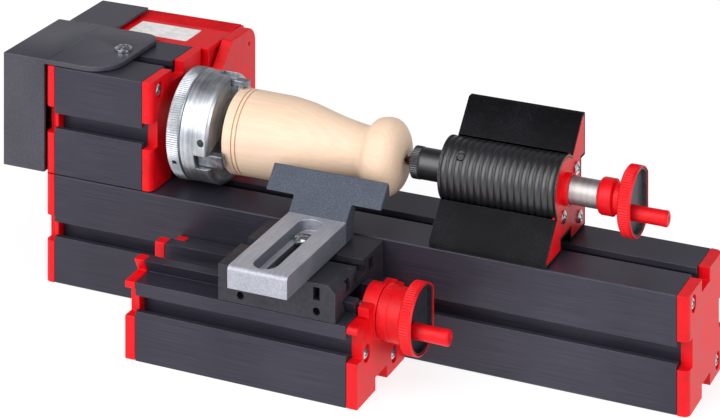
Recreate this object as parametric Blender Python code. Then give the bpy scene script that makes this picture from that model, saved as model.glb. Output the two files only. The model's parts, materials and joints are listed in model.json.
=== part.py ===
"""Small wood lathe built up from slotted aluminium profiles, as separate pieces.

The design frame has X along the bed, from the bed profile's left end towards the
tailstock, Y from the bed's front face to the back, and Z up from the table. One
empty, "lathe", moves that frame so that the origin is at the centre of the
footprint, on the table. All lengths are in metres.
"""

import math

import bmesh
import bpy
from mathutils import Matrix

GAP = 0.0003  # running and seating gap between neighbouring pieces

# Slotted profile: square, with one T-slot along the middle of each side.
PROFILE = 0.050
HALF = PROFILE / 2
SLOT_OPENING = 0.0035  # half width
SLOT_CAVITY = 0.006  # half width
SLOT_LIP = 0.0025
SLOT_DEPTH = 0.0065
CORNER = 0.0004
PROFILE_BORE = 0.0112
CHANNEL_RADIUS = 0.0013

# Bed and headstock.
BED_LENGTH = 0.300
HEAD_LENGTH = 0.046
AXIS_Y = HALF
AXIS_Z = PROFILE + HALF
CAP_THICKNESS = 0.005
CAP_ROUND = 0.003
NOTCH_WIDTH = 0.012
NOTCH_DEPTH = 0.0055
SCREW_IN_Y = 0.0075
SCREW_IN_Z = 0.0055

# Cap screws.
SCREW_HEAD = 0.0028
SCREW_HEAD_HIGH = 0.0014
SCREW_SHANK = 0.0010
SCREW_LENGTH = 0.012
SEAT_LONG = 0.0007  # the screws' seats are longer than the heads, up and down

# Spindle, its bearings and its pulley.
SPINDLE_RADIUS = 0.0037
BEARING_OUTER = 0.0110
BEARING_INNER = 0.0040
BEARING_WIDTH = 0.0070
NOSE_RADIUS = 0.0070
PULLEY_X = -0.0150  # middle of both pulleys
PULLEY_WIDTH = 0.0060
SPINDLE_PULLEY = 0.0130
MOTOR_PULLEY = 0.0052
BELT_WIDTH = 0.0050
BELT_THICK = 0.0012

# Chuck.
RING_LEFT = 0.0580
RING_RIGHT = 0.0648
RING_RADIUS = 0.0247
CHUCK_RIGHT = 0.0793
CHUCK_RADIUS = 0.0244
CHUCK_HUB = 0.0150
JAW_WIDTH = 0.0068
JAW_END = 0.0223
JAW_STEP = 0.0193
JAW_FLOOR = 0.0722
JAW_TIP = 0.0858
JAW_ANGLES = (-160, -40, 80)  # degrees from +Y towards +Z

# Workpiece.
WORK_LEFT = 0.0835
WORK_RIGHT = 0.1670

# Belt guard.
GUARD_LEFT = -0.0280
GUARD_RIGHT = -0.0058
GUARD_WALL = 0.0017
FLANGE_RIGHT = 0.0293
FLANGE_TOP = PROFILE * 2 + 0.0030
REAR_GUARD_LEFT = -0.0220
REAR_GUARD_BACK = 0.0820
REAR_GUARD_LIP = 0.0036  # of the rear guard's top, over the motor
GUARD_SCREW_X = 0.0223

# Motor.
MOTOR_Y = 0.0690
MOTOR_Z = AXIS_Z
MOTOR_LEFT = 0.0003
MOTOR_RIGHT = 0.0540
MOTOR_CAP = 0.0600
MOTOR_BACK = 0.0880
MOTOR_WALL = 0.0018
MOTOR_FLAT = 0.0740  # back edge of the flat top

# Tailstock.
TAIL_LEFT = 0.1885
TAIL_RIGHT = 0.2425
TAIL_BARREL = 0.0140
TAIL_BARREL_LEFT = 0.1877
TAIL_LIP = 0.0030
TAIL_CHANNEL = 0.0050  # depth of the plain channels at the back and below
TAIL_WALL = 0.0008  # edge of the body round the end plate
END_PLATE = 0.0024
GRUB_X = 0.1969
GRUB_LEAN = 43.5  # degrees from upright towards the front
QUILL_RADIUS = 0.0059
SLEEVE_RADIUS = 0.0068
SLEEVE_LEFT = 0.1707
TIP_LEFT = 0.1652
QUILL_RIGHT = 0.2585
QUILL_TRAVEL = 0.012

# Handwheels: the same wheel, disc and peg at the tailstock and on the slide.
WHEEL_RADIUS = 0.0148
WHEEL_WIDTH = 0.0062
WHEEL_FLAT = 0.0110  # the rim is cut off flat this far behind the axis
WHEEL_BORE = 0.0033
WHEEL_RECESS = 0.0037
WHEEL_RIM = 0.0007  # thickness of the rim round the recess
CUP_RADIUS = WHEEL_RADIUS - WHEEL_RIM - GAP
CUP_WALL = 0.0006
CUP_FLOOR = 0.0008
PEG_RADIUS = 0.0034
PEG_REACH = 0.0147  # beyond the rim
PEG_OFFSET = 0.0069
PEG_ANGLE = 199  # degrees from +Y towards +Z
PEG_SHANK = 0.0017
SHAFT_RADIUS = 0.0030
TAIL_WHEEL_X = 0.2701
SLIDE_WHEEL_X = 0.1908

# Cross slide, in front of the bed.
SLIDE_STANDOFF = 0.0008
SLIDE_Y = -HALF - SLIDE_STANDOFF
SLIDE_LEFT = 0.0715
SLIDE_LENGTH = 0.1005
SLIDE_HIGH = 0.0340
RAIL_TOP = 0.0404
RAIL_TIP = 0.0172
RAIL_ROOT = 0.0138
RAIL_INNER = 0.0114
BACK_RAIL_TIP = 0.0074
BACK_RAIL_ROOT = 0.0063
BACK_RAIL_INNER = 0.0018
RAIL_UNDER = 0.0338
CHANNEL_BACK = 0.0050
CHANNEL_FLOOR = 0.0262
SLIDE_AXIS_Z = 0.0312
HUB_RADIUS = 0.0113
LEADSCREW_RADIUS = 0.0026
RING_FROM = 0.1794
RING_TO = 0.1902
CARRIAGE_LEFT = 0.1120
CARRIAGE_RIGHT = 0.1672
CARRIAGE_TOP = PROFILE - GAP
REST_X = 0.1405

# Tool rest.
REST_FRONT = -0.0708
REST_HALF = 0.0140
BLADE_HALF = 0.0278
REST_HIGH = 0.0094
REST_BASE = PROFILE
REST_SLOT_FRONT = -0.0620
REST_SLOT_BACK = -0.0200

# Footprint, for the origin.
FOOT_LEFT = GUARD_LEFT
FOOT_RIGHT = BED_LENGTH + GAP + CAP_THICKNESS
FOOT_FRONT = REST_FRONT
FOOT_BACK = MOTOR_BACK + 0.0005

RED = (0.80, 0.012, 0.016)
BLACK = (0.020, 0.020, 0.023)
GREY = (0.060, 0.060, 0.068)
ZINC = (0.52, 0.54, 0.55)
STEEL = (0.40, 0.39, 0.38)
CHROME = (0.80, 0.80, 0.80)
BEECH = (0.82, 0.62, 0.42)
RUBBER = (0.015, 0.015, 0.015)


def material(name, colour, roughness, metallic):
    """A plain Principled material."""
    finish = bpy.data.materials.new(name)
    finish.use_nodes = True
    shader = finish.node_tree.nodes["Principled BSDF"]
    shader.inputs["Base Color"].default_value = (*colour, 1.0)
    shader.inputs["Roughness"].default_value = roughness
    shader.inputs["Metallic"].default_value = metallic
    return finish


def empty(name, parent=None, location=(0, 0, 0)):
    holder = bpy.data.objects.new(name, None)
    bpy.context.collection.objects.link(holder)
    holder.parent = parent
    holder.location = location
    return holder


def place(name, mesh, parent, location=(0, 0, 0), finish=None, smooth=False):
    """One object for one piece, parented to an empty."""
    piece = bpy.data.objects.new(name, mesh)
    bpy.context.collection.objects.link(piece)
    piece.parent = parent
    piece.location = location
    if finish:
        mesh.materials.append(material(name, *finish))
    if smooth:
        mesh.shade_smooth()
        mesh.set_sharp_from_angle(angle=math.radians(35))
    return piece


def helper(name, mesh, parent, location=(0, 0, 0)):
    """A hidden object that only shapes its neighbour."""
    tool = place(name, mesh, parent, location)
    tool.hide_render = True
    tool.display_type = "WIRE"
    return tool


def combine(piece, tool, operation="DIFFERENCE"):
    step = piece.modifiers.new(tool.name, "BOOLEAN")
    step.operation = operation
    step.object = tool
    return piece


def finished(shape, name):
    bmesh.ops.recalc_face_normals(shape, faces=shape.faces)
    mesh = bpy.data.meshes.new(name)
    shape.to_mesh(mesh)
    shape.free()
    return mesh


def prism(name, outline, low, high, axis="X"):
    """An outline of (a, b) points, extruded from low to high along an axis.

    Along X the points are (y, z), along Y (x, z) and along Z (x, y).
    """
    put = {
        "X": lambda a, b, c: (c, a, b),
        "Y": lambda a, b, c: (a, c, b),
        "Z": lambda a, b, c: (a, b, c),
    }[axis]
    shape = bmesh.new()
    ends = [[shape.verts.new(put(a, b, c)) for a, b in outline] for c in (low, high)]
    for end in ends:
        shape.faces.new(end)
    for i in range(len(outline)):
        j = (i + 1) % len(outline)
        shape.faces.new((ends[0][i], ends[0][j], ends[1][j], ends[1][i]))
    return finished(shape, name)


def boxes(name, corners):
    """Separate boxes, each given by its low and high corners, in one mesh."""
    shape = bmesh.new()
    for low, high in corners:
        size = [b - a for a, b in zip(low, high)]
        middle = [(a + b) / 2 for a, b in zip(low, high)]
        spread = Matrix.Translation(middle) @ Matrix.Diagonal((*size, 1))
        bmesh.ops.create_cube(shape, size=1, matrix=spread)
    return finished(shape, name)


def turned(name, profile, segments=28, ring=False):
    """A profile of (x, radius) points revolved about the X axis.

    A ring joins its last point to its first. Otherwise both ends are closed.
    """
    shape = bmesh.new()
    turns = [2 * math.pi * k / segments for k in range(segments)]
    loops = []
    for x, r in profile:
        if r > 0:
            loops.append([shape.verts.new((x, r * math.cos(t), r * math.sin(t))) for t in turns])
        else:
            loops.append([shape.verts.new((x, 0, 0))])
    pairs = list(zip(loops, loops[1:]))
    if ring:
        pairs.append((loops[-1], loops[0]))
    for a, b in pairs:
        for k in range(segments):
            n = (k + 1) % segments
            corners = [a[k % len(a)], a[n % len(a)], b[n % len(b)], b[k % len(b)]]
            shape.faces.new(list(dict.fromkeys(corners)))
    if not ring:
        for loop in (loops[0], loops[-1]):
            if len(loop) > 1:
                shape.faces.new(loop)
    return finished(shape, name)


def tube(name, low, high, outer, inner, segments=28):
    """A plain bush."""
    profile = [(low, inner), (low, outer), (high, outer), (high, inner)]
    return turned(name, profile, segments, ring=True)


def rods(name, rows, segments=12):
    """Plain cylinders along X in one mesh: rows of (low, high, radius, y, z)."""
    shape = bmesh.new()
    for low, high, radius, y, z in rows:
        stand = Matrix.Translation(((low + high) / 2, y, z)) @ Matrix.Rotation(math.pi / 2, 4, "Y")
        bmesh.ops.create_cone(
            shape,
            cap_ends=True,
            segments=segments,
            radius1=radius,
            radius2=radius,
            depth=high - low,
            matrix=stand,
        )
    return finished(shape, name)


def arc(centre, radius, start, end, steps):
    """Points on an arc, angles in degrees."""
    angles = [math.radians(start + (end - start) * k / steps) for k in range(steps + 1)]
    return [(centre[0] + radius * math.cos(t), centre[1] + radius * math.sin(t)) for t in angles]


def slot_points():
    """One T-slot in the middle of a side that faces up, left to right."""
    return [
        (-SLOT_OPENING, 0),
        (-SLOT_OPENING, -SLOT_LIP),
        (-SLOT_CAVITY, -SLOT_LIP),
        (-SLOT_CAVITY, -SLOT_DEPTH),
        (SLOT_CAVITY, -SLOT_DEPTH),
        (SLOT_CAVITY, -SLOT_LIP),
        (SLOT_OPENING, -SLOT_LIP),
        (SLOT_OPENING, 0),
    ]


def turned_points(points, quarter, centre, distance):
    """Points of a side that faces up, turned clockwise by quarters about a centre."""
    cos, sin = [(1, 0), (0, -1), (-1, 0), (0, 1)][quarter]
    out = []
    for a, b in points:
        b += distance
        out.append((centre[0] + a * cos - b * sin, centre[1] + a * sin + b * cos))
    return out


def profile_outline(centre):
    """The square section with a T-slot in each side and small corner chamfers."""
    side = [(-HALF + CORNER, 0), *slot_points(), (HALF - CORNER, 0)]
    return [p for quarter in range(4) for p in turned_points(side, quarter, centre, HALF)]


def channel_places(z):
    """Screw channels in two opposite corners of a square profile based at z."""
    return [
        (SCREW_IN_Y, z + PROFILE - SCREW_IN_Z),
        (PROFILE - SCREW_IN_Y, z + SCREW_IN_Z),
    ]


def slotted_profile(name, length, z, parent):
    outline = profile_outline((HALF, z + HALF))
    piece = place(name, prism(name, outline, 0, length), parent, finish=(BLACK, 0.4, 0.6))
    bore = rods(name + "_bore", [(-0.01, length + 0.01, PROFILE_BORE, HALF, z + HALF)], 28)
    combine(piece, helper(name + "_bore", bore, parent))
    rows = [(-0.01, length + 0.01, CHANNEL_RADIUS, *at) for at in channel_places(z)]
    combine(piece, helper(name + "_channels", rods(name + "_channels", rows, 8), parent))
    return piece


def cap_plan(inner, outer):
    """A cap from above: flat inner face, and both outer corners rounded."""
    way = 1 if outer > inner else -1
    turn = outer - way * CAP_ROUND
    front = arc((turn, CAP_ROUND), CAP_ROUND, -90, -90 + way * 90, 4)
    back = arc((turn, PROFILE - CAP_ROUND), CAP_ROUND, way * 90 - 90, 90, 4)
    if way < 0:
        back = arc((turn, PROFILE - CAP_ROUND), CAP_ROUND, 180, 90, 4)
        front = arc((turn, CAP_ROUND), CAP_ROUND, 270, 180, 4)
    return [(inner, 0), *front, *back, (inner, PROFILE)]


def slot_notches(x, z, width=NOTCH_WIDTH, depth=NOTCH_DEPTH):
    """Boxes that clear the four slots at a cap around x."""
    near, far = x - 0.01, x + 0.01
    low, high = HALF - width / 2, HALF + width / 2
    return [
        ((near, -0.005, z + low), (far, depth, z + high)),
        ((near, PROFILE - depth, z + low), (far, PROFILE + 0.005, z + high)),
        ((near, low, z - 0.005), (far, high, z + depth)),
        ((near, low, z + PROFILE - depth), (far, high, z + PROFILE + 0.005)),
    ]


def end_cap(name, inner, outer, z, bore, parent):
    """A moulded cap on a square profile, with its screw holes."""
    plan = cap_plan(inner, outer)
    base = z + (0.0002 if z else 0)
    piece = place(name, prism(name, plan, base, z + PROFILE, "Z"), parent, finish=(RED, 0.35, 0.0))
    notches = boxes(name + "_notches", slot_notches(inner, z))
    combine(piece, helper(name + "_notches", notches, parent))
    way = 1 if outer > inner else -1
    seat = outer - way * (SCREW_HEAD_HIGH + GAP)
    rows = []
    for y, up in channel_places(z):
        ends = sorted((inner - way * 0.005, outer + way * 0.005))
        rows.append((*ends, SCREW_SHANK + GAP, y, up))
    if bore:
        ends = sorted((inner - way * 0.005, outer + way * 0.005))
        rows.append((*ends, bore, HALF, z + HALF))
    combine(piece, helper(name + "_holes", rods(name + "_holes", rows, 12), parent))
    cut_seats(piece, name, *sorted((seat, outer + way * 0.005)), channel_places(z), parent)
    return piece


def cut_seats(piece, name, low, high, places, parent):
    """Long recesses for screw heads, cut along X from low to high."""
    reach = SCREW_HEAD + GAP
    for side, lift in (("low", -SEAT_LONG), ("high", SEAT_LONG)):
        label = f"{name}_seats_{side}"
        rows = [(low, high, reach, y, z + lift) for y, z in places]
        combine(piece, helper(label, rods(label, rows, 16), parent))
    label = name + "_seat_middles"
    rows = []
    for y, z in places:
        rows.append(((low, y - reach, z - SEAT_LONG), (high, y + reach, z + SEAT_LONG)))
    combine(piece, helper(label, boxes(label, rows), parent))


def cap_screw(name, outer, y, z, parent, way=1):
    """A pan-head screw along X whose head ends level with a cap's outer face."""
    high = SCREW_HEAD_HIGH
    profile = [
        (-SCREW_LENGTH, SCREW_SHANK),
        (-high, SCREW_SHANK),
        (-high, SCREW_HEAD),
        (0, SCREW_HEAD * 0.75),
    ]
    profile = [(way * x, r) for x, r in profile]
    mesh = turned(name, profile, 12)
    return place(name, mesh, parent, (outer, y, z), (CHROME, 0.2, 1.0), smooth=True)


def slot_key(name, low, high, gap, centre, across, parent, channel=False):
    """A double-headed key that joins two facing T-slots along X.

    gap is the space between the two profiles. across is True where they meet at
    an upright face, and channel is True where the upper slot is a plain channel.
    """
    neck = SLOT_OPENING - GAP
    head = SLOT_CAVITY - GAP
    lip = gap / 2 + SLOT_LIP + GAP
    end = gap / 2 + SLOT_DEPTH - GAP
    lower = [(head, -end), (head, -lip), (neck, -lip)]
    upper = [(neck, lip), (head, lip), (head, end)]
    if channel:
        upper = [(neck, gap / 2), (head, gap / 2), (head, gap / 2 + TAIL_CHANNEL - GAP)]
    right = lower + upper
    outline = right + [(-a, b) for a, b in reversed(right)]
    if across:
        outline = [(b, a) for a, b in outline]
    return place(name, prism(name, outline, low, high), parent, (0, *centre), (STEEL, 0.4, 1.0))


def build_bed(root):
    slotted_profile("bed_profile", BED_LENGTH, 0, root)
    right = BED_LENGTH + GAP
    end_cap("bed_cap_left", -GAP, -GAP - CAP_THICKNESS, 0, 0, root)
    end_cap("bed_cap_right", right, right + CAP_THICKNESS, 0, 0, root)
    for name, at in zip(("upper", "lower"), channel_places(0)):
        cap_screw("bed_cap_screw_" + name, right + CAP_THICKNESS, *at, root)


def build_headstock(root):
    base = PROFILE + GAP
    slotted_profile("headstock_profile", HEAD_LENGTH, base, root)
    right = HEAD_LENGTH + GAP
    end_cap("headstock_cap_left", -GAP, -GAP - CAP_THICKNESS, base, 0.0060, root)
    end_cap("headstock_cap_right", right, right + CAP_THICKNESS, base, 0.0060, root)
    for name, at in zip(("upper", "lower"), channel_places(base)):
        cap_screw("headstock_cap_screw_" + name, right + CAP_THICKNESS, *at, root)
    axis = empty("bearing_line", root, (0, AXIS_Y, AXIS_Z + GAP))
    for name, low in (("rear", GAP), ("front", HEAD_LENGTH - GAP - BEARING_WIDTH)):
        name = "spindle_bearing_" + name
        mesh = tube(name, low, low + BEARING_WIDTH, BEARING_OUTER, BEARING_INNER)
        place(name, mesh, axis, finish=(STEEL, 0.3, 1.0), smooth=True)
    slot_key("headstock_key", 0.006, 0.040, GAP, (HALF, PROFILE + GAP / 2), False, root)


def build_spindle(axis):
    """Everything that turns with the work. The parent's origin is on the spindle line."""
    profile = [
        (-0.0225, SPINDLE_RADIUS),
        (0.0523, SPINDLE_RADIUS),
        (0.0523, 0.0095),
        (0.0570, 0.0095),
        (0.0570, NOSE_RADIUS),
        (0.0660, NOSE_RADIUS),
    ]
    mesh = turned("spindle_shaft", profile)
    place("spindle_shaft", mesh, axis, finish=(STEEL, 0.3, 1.0), smooth=True)
    mesh = pulley("spindle_pulley", SPINDLE_PULLEY, SPINDLE_RADIUS + GAP)
    place("spindle_pulley", mesh, axis, finish=(GREY, 0.5, 0.0), smooth=True)

    profile = [
        (0.0575, NOSE_RADIUS + GAP),
        (0.0575, CHUCK_HUB),
        (RING_RIGHT + GAP, CHUCK_HUB),
        (RING_RIGHT + GAP, CHUCK_RADIUS),
        (CHUCK_RIGHT - 0.0009, CHUCK_RADIUS),
        (CHUCK_RIGHT, CHUCK_RADIUS - 0.0012),
        (CHUCK_RIGHT, 0.0056),
        (0.0670, 0.0056),
        (0.0670, NOSE_RADIUS + GAP),
    ]
    mesh = turned("chuck_body", profile, 44, ring=True)
    chuck = place("chuck_body", mesh, axis, finish=(ZINC, 0.35, 1.0), smooth=True)
    low = (JAW_FLOOR, 0.0050, -JAW_WIDTH / 2 - GAP)
    high = (CHUCK_RIGHT + 0.01, CHUCK_RADIUS + 0.01, JAW_WIDTH / 2 + GAP)
    for number, angle in enumerate(JAW_ANGLES, 1):
        slot = boxes(f"jaw_slot_{number}", [(low, high)])
        tool = helper(f"jaw_slot_{number}", slot, axis)
        tool.rotation_euler.x = math.radians(angle)
        combine(chuck, tool)

    mesh = turned("workpiece", work_profile(), 36)
    place("workpiece", mesh, axis, finish=(BEECH, 0.5, 0.0), smooth=True)


def work_profile():
    """The turned handle: base, long taper, neck, bulb and the centre's hole."""
    base = 0.0189
    taper = [
        (0.0965, 0.0187),
        (0.1080, 0.0186),
        (0.1200, 0.0171),
        (0.1275, 0.0153),
        (0.1355, 0.0135),
        (0.1440, 0.0121),
        (0.1475, 0.0118),
        (0.1495, 0.0127),
    ]
    bulb = [
        (0.1518, 0.0149),
        (0.1545, 0.0164),
        (0.1580, 0.0168),
        (0.1600, 0.0165),
        (0.1620, 0.0156),
        (0.1635, 0.0141),
        (0.1646, 0.0129),
        (0.1658, 0.0100),
        (0.1666, 0.0070),
        (WORK_RIGHT, 0.0040),
    ]
    start = [(WORK_LEFT, base - 0.0006), (WORK_LEFT + 0.0006, base)]
    centre_hole = [(WORK_RIGHT, 0.0026), (TIP_LEFT - 0.0004, 0)]
    return start + taper + bulb + centre_hole


def pulley(name, groove, bore):
    """A flanged belt pulley around the belt line."""
    low, high = PULLEY_X - PULLEY_WIDTH / 2, PULLEY_X + PULLEY_WIDTH / 2
    flange = groove + 0.0016
    profile = [
        (low - 0.0012, bore),
        (low - 0.0012, flange),
        (low, flange),
        (low, groove),
        (high, groove),
        (high, flange),
        (high + 0.0012, flange),
        (high + 0.0012, bore),
    ]
    return turned(name, profile, 24, ring=True)


def build_chuck_parts(ring_axis, jaw_axes):
    """The scroll ring, and one jaw under each turned empty."""
    mesh = tube("chuck_scroll_ring", RING_LEFT, RING_RIGHT, RING_RADIUS, CHUCK_HUB + GAP, 44)
    place("chuck_scroll_ring", mesh, ring_axis, finish=(ZINC, 0.4, 1.0), smooth=True)
    outline = [
        (JAW_FLOOR + GAP, 0.0066),
        (JAW_FLOOR + GAP, JAW_END),
        (JAW_TIP, JAW_END),
        (JAW_TIP, JAW_STEP),
        (CHUCK_RIGHT - 0.0002, JAW_STEP),
        (CHUCK_RIGHT - 0.0002, 0.0066),
    ]
    for number, axis in enumerate(jaw_axes, 1):
        name = f"chuck_jaw_{number}"
        mesh = prism(name, outline, -JAW_WIDTH / 2, JAW_WIDTH / 2, "Z")
        place(name, mesh, axis, finish=(CHROME, 0.3, 1.0))


def loop_points(big, small, distance, steps):
    """Points on a belt line round two circles, the small one at distance along +Y."""
    lean = math.degrees(math.acos((big - small) / distance))
    left = arc((0, 0), big, lean, 360 - lean, steps)
    right = arc((distance, 0), small, -lean, lean, steps)
    return left + right


def build_belt(root):
    """The closed belt, from the spindle's pulley back to the motor's pulley."""
    reach = math.hypot(MOTOR_Y - AXIS_Y, MOTOR_Z - AXIS_Z)
    inside = loop_points(SPINDLE_PULLEY + GAP, MOTOR_PULLEY + GAP, reach, 14)
    thick = GAP + BELT_THICK
    outside = loop_points(SPINDLE_PULLEY + thick, MOTOR_PULLEY + thick, reach, 14)
    shape = bmesh.new()
    loops = []
    for half, points in ((-1, inside), (1, inside), (1, outside), (-1, outside)):
        x = PULLEY_X + half * BELT_WIDTH / 2
        loops.append([shape.verts.new((x, y, z)) for y, z in points])
    for a, b in zip(loops, loops[1:] + loops[:1]):
        for k in range(len(a)):
            n = (k + 1) % len(a)
            shape.faces.new((a[k], a[n], b[n], b[k]))
    mesh = finished(shape, "drive_belt")
    at = (0, AXIS_Y, AXIS_Z + GAP)
    place("drive_belt", mesh, root, at, (RUBBER, 0.7, 0.0), smooth=True)


def build_guards(root):
    """The front guard carries a flange that is screwed down on the headstock."""
    front, back = 0.0135, 0.0075
    plan = [
        (GUARD_LEFT, 0),
        *arc((FLANGE_RIGHT - front, front), front, -90, 0, 8),
        *arc((FLANGE_RIGHT - back, PROFILE - back), back, 0, 90, 5),
        (GUARD_LEFT, PROFILE),
    ]
    floor = PROFILE + GAP
    under = PROFILE * 2 + 2 * GAP
    mesh = prism("belt_guard", plan, floor, FLANGE_TOP, "Z")
    guard = place("belt_guard", mesh, root, finish=(BLACK, 0.4, 0.3))
    low = (GUARD_RIGHT, -0.01, PROFILE - 0.01)
    high = (FLANGE_RIGHT + 0.01, PROFILE + 0.01, under)
    combine(guard, helper("under_flange", boxes("under_flange", [(low, high)]), root))
    low = (GUARD_LEFT + GUARD_WALL, GUARD_WALL, floor + GUARD_WALL)
    high = (GUARD_RIGHT + 0.001, PROFILE - GUARD_WALL, under)
    combine(guard, helper("guard_room", boxes("guard_room", [(low, high)]), root))
    low = (PULLEY_X - 0.0040, HALF, AXIS_Z - 0.0180)
    high = (PULLEY_X + 0.0040, PROFILE + 0.01, AXIS_Z + 0.0180)
    combine(guard, helper("belt_window", boxes("belt_window", [(low, high)]), root))
    tool = upright("flange_hole", [(0, 0.0023), (0.02, 0.0023)])
    combine(guard, helper("flange_hole", tool, root, (GUARD_SCREW_X, HALF, under - 0.01)))

    low = (REAR_GUARD_LEFT, PROFILE + GAP, floor)
    high = (MOTOR_LEFT + REAR_GUARD_LIP, REAR_GUARD_BACK, FLANGE_TOP)
    mesh = boxes("rear_belt_guard", [(low, high)])
    rear = place("rear_belt_guard", mesh, root, finish=(BLACK, 0.4, 0.3))
    low = (MOTOR_LEFT - GAP, PROFILE, 0)
    high = (MOTOR_LEFT + 0.02, MOTOR_BACK, FLANGE_TOP - 0.0014)
    combine(rear, helper("under_lip", boxes("under_lip", [(low, high)]), root))
    low = (REAR_GUARD_LEFT + GUARD_WALL, PROFILE - 0.01, floor + GUARD_WALL)
    high = (MOTOR_LEFT + 0.01, REAR_GUARD_BACK - GUARD_WALL, FLANGE_TOP - GUARD_WALL)
    combine(rear, helper("rear_room", boxes("rear_room", [(low, high)]), root))

    nut_top = PROFILE * 2 + GAP - SLOT_LIP - GAP
    head = [(-0.0093, 0.0020), (0, 0.0020), (0, 0.0041), (0.0017, 0.0041), (0.0025, 0.0030)]
    mesh = upright("guard_screw", head, 20)
    place("guard_screw", mesh, root, (GUARD_SCREW_X, HALF, FLANGE_TOP + 0.0001), (CHROME, 0.2, 1.0))
    half = SLOT_CAVITY - GAP
    low = (GUARD_SCREW_X - half, HALF - half, nut_top - 0.0032)
    high = (GUARD_SCREW_X + half, HALF + half, nut_top)
    nut = place("guard_nut", boxes("guard_nut", [(low, high)]), root, finish=(STEEL, 0.4, 1.0))
    tool = upright("guard_nut_hole", [(0, 0.0023), (0.02, 0.0023)])
    combine(nut, helper("guard_nut_hole", tool, root, (GUARD_SCREW_X, HALF, nut_top - 0.01)))


def upright(name, profile, segments=12, ring=False):
    """A profile of (z, radius) points revolved about the Z axis."""
    mesh = turned(name, profile, segments, ring)
    mesh.transform(Matrix.Rotation(-math.pi / 2, 4, "Y"))
    return mesh


def build_motor(root, rotor_axis):
    base = PROFILE + GAP
    top = PROFILE * 2 + GAP
    front = PROFILE + GAP
    outline = [
        (front, base),
        (MOTOR_BACK, base),
        (MOTOR_BACK, top - 0.0014),
        (MOTOR_BACK - 0.0010, top - 0.0004),
        (MOTOR_FLAT, top),
        (front, top),
    ]
    mesh = prism("motor_housing", outline, MOTOR_LEFT, MOTOR_RIGHT)
    housing = place("motor_housing", mesh, root, finish=(RED, 0.35, 0.0))
    wall = MOTOR_WALL
    low = (MOTOR_LEFT + wall, front + wall, base + wall)
    high = (MOTOR_RIGHT + 0.01, MOTOR_BACK - wall, top - 0.0004 - wall)
    combine(housing, helper("motor_room", boxes("motor_room", [(low, high)]), root))
    rows = [(-0.01, 0.01, 0.0050, MOTOR_Y, MOTOR_Z + GAP)]
    combine(housing, helper("shaft_hole", rods("shaft_hole", rows, 20), root))

    corner = 0.008
    outline = [
        (front + 0.0002, base),
        (MOTOR_BACK + 0.0005, base),
        *arc((MOTOR_BACK + 0.0005 - corner, top - corner + 0.0005), corner, 0, 90, 8),
        (front + 0.0132, top + 0.0005),
        (front + 0.0002, top - 0.0125),
    ]
    mesh = prism("motor_end_cap", outline, MOTOR_RIGHT + GAP, MOTOR_CAP)
    place("motor_end_cap", mesh, root, finish=(RED, 0.35, 0.0))

    line = empty("motor_line", root, (0, MOTOR_Y, MOTOR_Z + GAP))
    mesh = tube("motor_can", 0.0030, 0.0460, 0.0164, 0.0120)
    place("motor_can", mesh, line, finish=(STEEL, 0.35, 1.0), smooth=True)
    profile = [
        (-0.0195, 0.0016),
        (0.0080, 0.0016),
        (0.0080, 0.0112),
        (0.0400, 0.0112),
        (0.0400, 0.0016),
        (0.0500, 0.0016),
    ]
    mesh = turned("motor_rotor", profile)
    place("motor_rotor", mesh, rotor_axis, finish=(STEEL, 0.35, 1.0), smooth=True)
    mesh = pulley("motor_pulley", MOTOR_PULLEY, 0.0016 + GAP)
    place("motor_pulley", mesh, rotor_axis, finish=(GREY, 0.5, 0.0), smooth=True)


def tail_outline(inset=0):
    """The wing: a 45 degree front, and a plain channel at the back and below.

    An inset moves every edge inwards by the same distance.
    """
    base = PROFILE + GAP
    top = base + PROFILE - 0.0004
    low, high = HALF - NOTCH_WIDTH / 2 - inset, HALF + NOTCH_WIDTH / 2 + inset
    deep = TAIL_CHANNEL + inset
    lip = base + TAIL_LIP - inset * math.sqrt(2)
    return [
        (inset, base + inset),
        (inset, lip + inset),
        (top - inset - lip, top - inset),
        (PROFILE - inset, top - inset),
        (PROFILE - inset, base + high),
        (PROFILE - deep, base + high),
        (PROFILE - deep, base + low),
        (PROFILE - inset, base + low),
        (PROFILE - inset, base + inset),
        (high, base + inset),
        (high, base + deep),
        (low, base + deep),
        (low, base + inset),
    ]


PLATE_SCREWS = ((0.0382, 0.0795), (0.0210, 0.0645), (0.0418, 0.0568))


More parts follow.
